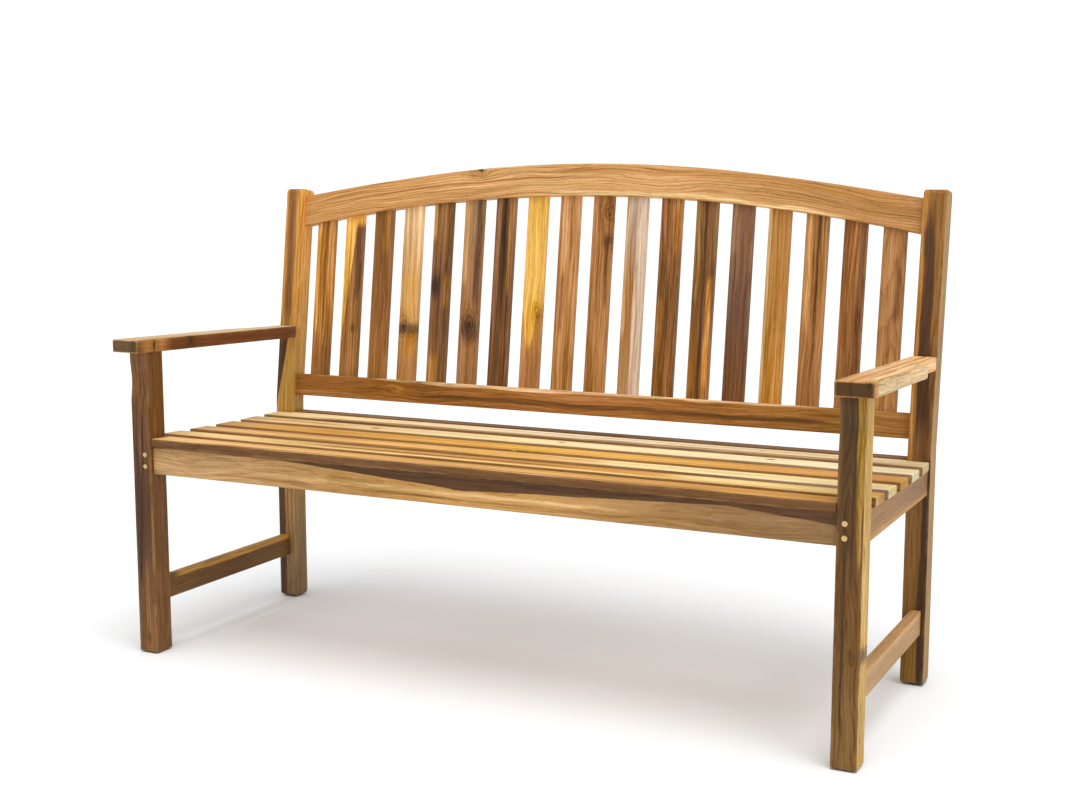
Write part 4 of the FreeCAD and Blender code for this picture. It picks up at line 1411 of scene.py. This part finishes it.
@dataclass
class Arms(SubAssembly):
    """The two arms, wide in front and narrowing to the posts. Sizes in mm.

    Attributes:
        fall: Slope of the arm towards the back.
        taper: Where the outer side starts and stops narrowing, and its distance out after that.
        square_run: Length over which the back end turns to lie on the leaning post.
    """

    inner_x: float = 702.0
    outer_x: float = 769.0
    thickness: float = 26.0
    front_y: float = -28.5
    underside_z: float = 623.5
    fall: float = math.radians(1.5)
    taper: tuple[float, float, float] = (345.0, 434.0, 750.0)
    square_run: float = 20.0

    ARRIS: ClassVar[float] = 3.0 * MM
    END: ClassVar[tuple[float, float]] = (5.0 * MM, 3.0 * MM)
    STEPS: ClassVar[tuple[float, float, float]] = (25.0, 9.0, 10.0)
    SEED: ClassVar[float] = 9.0

    def arm(self, side: Side) -> Board:
        """Lofts an arm, grain from the front end back.

        Args:
            side: Which arm.

        Returns:
            The board.
        """
        start, stop, narrow = self.taper
        back_y = POST_FRONT_Y + (self.underside_z - KNEE_Z) * math.tan(LEAN)
        stretches = zip((self.front_y, start, stop), (start, stop, back_y), self.STEPS)
        marks = sorted({y for ends in stretches for y in evenly(*ends)})
        rise = self.thickness / 2
        stations = []
        for y in marks:
            share = min(max((y - start) / (stop - start), 0.0), 1.0)
            outer = self.outer_x + (narrow - self.outer_x) * share
            low = self.underside_z - math.tan(self.fall) * (y - self.front_y)
            tilt = ease_step(y, stop - self.square_run, back_y) * math.tan(LEAN)
            shift = side.value * 0.5 * MM * (outer - self.outer_x)
            stations.append(Station(at(side.value * (self.inner_x + outer) / 2, y, low + rise),
                                    half(X_DIR, self.inner_x, outer), Vector((0, tilt, 1)) * (rise * MM),
                                    (y - self.front_y) * MM, shift))
        return Board(f"arm_{side.word}", stations, self.ARRIS, self.END, side.value * self.SEED)

    def build(self) -> None:
        """Builds and dresses both arms and their dowels."""
        self.dress(self.arm(Side.LEFT), ARM_LEFT, 31.0, "arm_left")
        self.dress(self.arm(Side.RIGHT), ARM_RIGHT, 33.0, "arm_right")
        self.keep("arm_dowels", BEECH.material())


@dataclass
class Back(SubAssembly):
    """Arched top rail, lower rail and the upright slats between them. Sizes in mm, up the lean.

    Attributes:
        rail_depth: Front and back of the rails, behind the posts' faces.
        slat_depth: Front and back of the slats.
        lower_rail: Bottom and top of the lower rail.
        arch_top: Top of the arch at the bench's middle.
        arch_radius: Radius of an arch through the top, from which the underside is offset.
        arch_height: Height of the rail at the middle.
        crown_radius: Radius of the arch's top edge near the middle.
        crown_half: How far from the middle that radius goes.
        shoulder_radius: Radius of the top edge from there on.
        slat_tuck: How far a slat runs into the lower rail and the top rail.
    """

    half_width: float = 705.0
    rail_depth: tuple[float, float] = (13.0, 41.0)
    slat_depth: tuple[float, float] = (21.0, 36.0)
    lower_rail: tuple[float, float] = (13.5, 62.5)
    arch_top: float = 539.8
    arch_radius: float = 3565.0
    arch_height: float = 67.0
    crown_radius: float = 3100.0
    crown_half: float = 350.0
    shoulder_radius: float = 6316.0
    slat_pitch: float = 76.579
    slat_width: float = 45.0
    slat_tuck: tuple[float, float] = (3.0, 4.0)

    STEP: ClassVar[float] = 24.0
    TOP_ARRIS: ClassVar[float] = 2.2 * MM
    LOWER_ARRIS: ClassVar[float] = 2.0 * MM
    TOP_SEED: ClassVar[float] = 41.0
    LOWER_SEED: ClassVar[float] = 43.0
    # Step from slat to slat for the hand sanding, then first number and step for the figure.
    SLAT_SEEDS: ClassVar[tuple[float, float, float]] = (1.7, 50.0, 2.3)

    def underside(self, x: float) -> float:
        """Height of the arch's underside."""
        radius = self.arch_radius - self.arch_height
        return self.arch_top - self.arch_radius + math.sqrt(radius ** 2 - x * x)

    def crest(self, x: float) -> float:
        """Works out the arch's top edge: a crown between two flatter shoulders.

        Args:
            x: Distance from the bench's middle.

        Returns:
            The edge's height.
        """
        x = abs(x)
        if x <= self.crown_half:
            return self.arch_top - self.crown_radius + math.sqrt(self.crown_radius ** 2 - x * x)
        tilt = math.asin(self.crown_half / self.crown_radius)
        middle_x = self.crown_half - self.shoulder_radius * math.sin(tilt)
        middle_u = self.crest(self.crown_half) - self.shoulder_radius * math.cos(tilt)
        return middle_u + math.sqrt(self.shoulder_radius ** 2 - (x - middle_x) ** 2)

    def rail(self, name: str, low: Callable[[float], float], high: Callable[[float], float], arris: float,
             seed: float) -> Board:
        """Lofts a rail between two edge lines, grain from left to right.

        Args:
            name: Name of the board.
            low: Height of the bottom edge at a distance from the middle.
            high: Height of the top edge.
            arris: Radius of its arrises in metres.
            seed: Number for its hand sanding.

        Returns:
            The board.
        """
        through = half(BACK_LEAN, *self.rail_depth)
        stations = []
        for x in evenly(-self.half_width - TUCK, self.half_width + TUCK, self.STEP):
            reach = min(max(x, -self.half_width), self.half_width)
            bottom, top = low(reach), high(reach)
            middle = leaning(x, (bottom + top) / 2, sum(self.rail_depth) / 2)
            across = half(UP_LEAN, bottom, top)
            stations.append(Station(middle, across, through, (x + self.half_width) * MM))
        return Board(name, stations, arris, HIDDEN_END, seed)

    def slat(self, index: int) -> Board:
        """Lofts an upright slat, grain from the lower rail up.

        Args:
            index: Its number from the left, from 0.

        Returns:
            The board.
        """
        x = (index - (len(BACK_SLATS) - 1) / 2) * self.slat_pitch
        across, through = half(X_DIR, 0.0, self.slat_width), half(BACK_LEAN, *self.slat_depth)
        bottom, top = self.lower_rail[1] - self.slat_tuck[0], self.underside(x) + self.slat_tuck[1]
        stations = [Station(leaning(x, up, sum(self.slat_depth) / 2), across, through, (up - bottom) * MM)
                    for up in evenly(bottom, top, self.STEP)]
        seed = index * self.SLAT_SEEDS[0]
        return Board(f"slat_back_{index + 1:02d}", stations, end=HIDDEN_END, seed=seed)

    def build(self) -> None:
        """Builds and dresses the rails and slats."""
        low, high = self.lower_rail
        top = self.rail("rail_top", self.underside, self.crest, self.TOP_ARRIS, self.TOP_SEED)
        self.dress(top, TOP_RAIL, self.TOP_SEED, "top_rail")
        lower = self.rail("rail_lower", lambda x: low, lambda x: high, self.LOWER_ARRIS, self.LOWER_SEED)
        self.dress(lower, LOWER_RAIL, self.LOWER_SEED, "lower_back_rail")
        _, first, step = self.SLAT_SEEDS
        for index, teak in enumerate(BACK_SLATS):
            self.dress(self.slat(index), teak, first + step * index, f"back_slat_{index + 1:02d}",
                       "teak_back_slats")


@dataclass
class Seat(SubAssembly):
    """Seat slats on their shallow dish, apron with its pegs, and the rails under them. Sizes in mm.

    Attributes:
        pitch: Distance from slat to slat.
        first_y: Middle of the front slat.
        low_z: Height of the dish where it is lowest.
        low_y: Where it is lowest.
        dish_radius: Its radius.
        end_x: How far out the slats' ends are.
        first_end_x: The same for the front slat, which stops between the legs.
        notch_x: Where the last slat's notches round the posts start.
        notch_y: How far back the notched ends go.
        notch_step: Length over which the last slat narrows into a notch.
    """

    pitch: float = 87.0
    first_y: float = 30.25
    slat_width: float = 58.5
    slat_thickness: float = 16.0
    low_z: float = 422.0
    low_y: float = 415.0
    dish_radius: float = 8333.0
    end_x: float = 747.0
    first_end_x: float = 703.5
    notch_x: float = 704.0
    notch_y: float = 487.0
    notch_step: float = 0.6
    apron_x: float = 705.0
    apron_y: tuple[float, float] = (10.0, 35.0)
    apron_z: tuple[float, float] = (374.5, 431.6)
    peg_x: float = 719.0
    peg_z: tuple[float, float] = (414.8, 390.8)
    peg_radius: float = 5.0

    STEP: ClassVar[float] = 30.0
    ARRIS: ClassVar[float] = 2.2 * MM
    END: ClassVar[tuple[float, float]] = (2.0 * MM, 2.0 * MM)
    # Step from slat to slat for the hand sanding, then first number and step for the figure.
    SLAT_SEEDS: ClassVar[tuple[float, float, float]] = (2.9, 101.0, 3.1)
    APRON_SEEDS: ClassVar[tuple[float, float]] = (6.0, 131.0)

    def slat(self, index: int) -> Board:
        """Lofts a seat slat, grain from left to right, the last one notched round the posts.

        Args:
            index: Its number from the front, from 0.

        Returns:
            The board.
        """
        y = self.first_y + self.pitch * index
        slope = math.atan((y - self.low_y) / self.dish_radius)
        base = self.low_z + (y - self.low_y) ** 2 / (2 * self.dish_radius)
        out = Vector((0, -math.sin(slope), math.cos(slope)))
        across = Vector((0, math.cos(slope), math.sin(slope)))
        end = self.end_x if index else self.first_end_x
        marks = evenly(-end, end, self.STEP)
        last = index == len(SEAT_SLATS) - 1
        if last:
            marks = sorted(marks + [side.value * (self.notch_x - step) for side in Side
                                    for step in (self.notch_step, 0.0)])
        stations = []
        for x in marks:
            notched = last and abs(x) > self.notch_x - self.notch_step / 2
            cut = max(y + self.slat_width / 2 - self.notch_y, 0.0) if notched else 0.0
            middle = at(x, y, base) + half(out, 0.0, self.slat_thickness) - half(across, 0.0, cut)
            stations.append(Station(middle, half(across, cut, self.slat_width),
                                    half(out, 0.0, self.slat_thickness), (x + end) * MM, -cut / 2 * MM))
        return Board(f"slat_seat_{index + 1}", stations, self.ARRIS, self.END, index * self.SLAT_SEEDS[0])

    def apron(self) -> Board:
        """Lofts the front apron between the legs, grain from left to right.

        Returns:
            The board.
        """
        y, z, end = sum(self.apron_y) / 2, sum(self.apron_z) / 2, self.apron_x + TUCK
        across, through = half(Z_DIR, *self.apron_z), half(Y_DIR, *self.apron_y)
        stations = [Station(at(x, y, z), across, through, (x + self.apron_x) * MM)
                    for x in evenly(-end, end, self.STEP)]
        return Board("apron", stations, end=HIDDEN_END, seed=self.APRON_SEEDS[0])

    def pegs(self) -> bpy.types.Object:
        """Turns the four pegs, cut off just proud of the legs, each in its glue line.

        Returns:
            The pegs as one object.
        """
        radius = self.peg_radius
        profile = [(radius + 0.45, -0.4, 1.0), (radius + 0.4, 0.06, 1.0), (radius - 0.1, 0.08, 1.0),
                   (radius - 0.3, 0.28, 0.0), (radius * 0.75, 0.38, 0.0), (radius * 0.35, 0.42, 0.0)]
        return joined("pegs", [turned("peg", at(side.value * self.peg_x, 0, z), -Y_DIR, profile)
                               for side in Side for z in self.peg_z])

    def keep_rail(self, node: str, teak: Teak, along: Vector, seed: float) -> None:
        """Dresses a rail kept from the frame.

        Args:
            node: Name of the rail's node.
            teak: Its finish.
            along: Unit direction of its grain.
            seed: Number that makes its figure its own.
        """
        low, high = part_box(node)
        length = abs((high - low).dot(along))
        origin = (low + high) / 2 - along * (length / 2)
        turn = (along, Z_DIR, along.cross(Z_DIR))
        self.keep(node, teak.material(f"teak_{node}", length, seed, turn, origin))

    def build(self) -> None:
        """Builds and dresses the seat's pieces."""
        _, first, step = self.SLAT_SEEDS
        for index, teak in enumerate(SEAT_SLATS):
            self.dress(self.slat(index), teak, first + step * index, f"seat_slat_{index + 1}",
                       "teak_seat_slats")
        self.dress(self.apron(), APRON, self.APRON_SEEDS[1], "front_apron")
        for node, teak, along, seed in (("rear_rail", REAR_RAIL, X_DIR, 141.0),
                                        ("middle_bearer", BEARER, Y_DIR, 143.0),
                                        ("side_rail_left", SIDE_RAIL_LEFT, Y_DIR, 145.0),
                                        ("side_rail_right", SIDE_RAIL_RIGHT, Y_DIR, 147.0)):
            self.keep_rail(node, teak, along, seed)
        self.place(self.pegs(), PegWood().material(), "pale_peg_wood", "apron_pegs")
        steel = STEEL.material()
        for node in ("apron_screws", "side_rail_screws_left", "side_rail_screws_right",
                     "middle_bearer_screws"):
            self.keep(node, steel)


# ---- Studio ----------------------------------------------------------------------------
@dataclass
class Studio:
    """Pale floor, soft light and the camera. Lengths in metres, turns in radians.

    Attributes:
        floor_half: Half width of the floor.
        sky: Strength of the world as a light.
        backdrop: Strength of the world as the camera sees it.
        sun: Strength of the ceiling panel.
        sun_angle: How wide it looks from the bench.
        sun_turn: Its tilt.
        fill_size: Side of the soft light on the right.
        fill_power: Its power in watts.
    """

    camera_place: tuple[float, float, float] = (1.3503, -2.655283, 0.9514)
    camera_turn: tuple[float, float, float] = (math.radians(90.0 - 8.056), 0.0, math.radians(26.419))
    lens: float = 50.958
    sensor: float = 36.0
    clip_end: float = 300.0
    floor_half: float = 60.0
    floor_colour: tuple[float, float, float, float] = (0.885, 0.9, 0.915, 1.0)
    floor_roughness: float = 0.9
    floor_specular: float = 0.1
    sky: float = 0.62
    backdrop: float = 1.1
    sun: float = 2.05
    sun_angle: float = math.radians(48.0)
    sun_turn: tuple[float, float, float] = (math.radians(14.0), math.radians(10.0), 0.0)
    fill_place: tuple[float, float, float] = (3.4, -1.6, 1.9)
    fill_target: tuple[float, float, float] = (0.2, 0.0, 0.5)
    fill_size: float = 1.8
    fill_power: float = 22.0

    @staticmethod
    def stand(name: str, data: bpy.types.ID, place: Sequence[float] = (0.0, 0.0, 0.0),
              turn: Sequence[float] = (0.0, 0.0, 0.0)) -> bpy.types.Object:
        """Puts a camera, light or mesh in the scene.

        Args:
            name: Name of the object.
            data: What it holds.
            place: Where it is.
            turn: Its rotation.

        Returns:
            The object.
        """
        item = bpy.data.objects.new(name, data)
        item.location, item.rotation_euler = place, turn
        bpy.context.scene.collection.objects.link(item)
        return item

    def world(self) -> None:
        """Makes the white surroundings, brighter where the camera looks straight at them."""
        world = bpy.data.worlds.new("white_studio")
        world.use_nodes = True
        w = Wiring(world.node_tree)
        backdrop = world.node_tree.nodes["Background"]
        backdrop.inputs[0].default_value = (1, 1, 1, 1)
        seen = w.node("ShaderNodeLightPath", {}).outputs["Is Camera Ray"]
        w.feed(backdrop.inputs[1], w.add(self.sky, w.times(seen, self.backdrop - self.sky)))
        bpy.context.scene.world = world
        bpy.context.scene.view_settings.view_transform = "Standard"

    def floor(self) -> None:
        """Lays a wide white floor."""
        s = self.floor_half
        mesh = bpy.data.meshes.new("floor")
        mesh.from_pydata([(-s, -s, 0), (s, -s, 0), (s, s, 0), (-s, s, 0)], [], [(0, 1, 2, 3)])
        made = bpy.data.materials.new("white_floor")
        made.use_nodes = True
        shader = made.node_tree.nodes["Principled BSDF"]
        shader.inputs["Base Color"].default_value = self.floor_colour
        shader.inputs["Roughness"].default_value = self.floor_roughness
        shader.inputs["Specular IOR Level"].default_value = self.floor_specular
        mesh.materials.append(made)
        self.stand("floor", mesh)

    def lights(self) -> None:
        """Hangs the wide ceiling panel, as one soft distant light, and a soft light on the right."""
        ceiling = bpy.data.lights.new("ceiling", "SUN")
        ceiling.energy, ceiling.angle = self.sun, self.sun_angle
        self.stand("ceiling", ceiling, turn=self.sun_turn)
        fill = bpy.data.lights.new("right_fill", "AREA")
        fill.shape, fill.size, fill.energy = "SQUARE", self.fill_size, self.fill_power
        towards = Vector(self.fill_target) - Vector(self.fill_place)
        self.stand("right_fill", fill, self.fill_place, towards.to_track_quat("-Z", "Y").to_euler())

    def camera(self) -> None:
        """Sets up the camera."""
        lens = bpy.data.cameras.new("camera")
        lens.lens, lens.sensor_width, lens.clip_end = self.lens, self.sensor, self.clip_end
        bpy.context.scene.camera = self.stand("camera", lens, self.camera_place, self.camera_turn)

    def build(self) -> None:
        """Builds the studio."""
        self.world()
        self.floor()
        self.lights()
        self.camera()


def main() -> None:
    """Builds the studio and the bench's sub-assemblies."""
    logging.basicConfig(level=logging.INFO)
    Studio().build()
    for assembly in (LegsAndPosts(), Arms(), Back(), Seat()):
        assembly.build()
        assembly.report(type(assembly).__name__)
    bpy.context.view_layer.update()


if __name__ == "__main__":
    main()
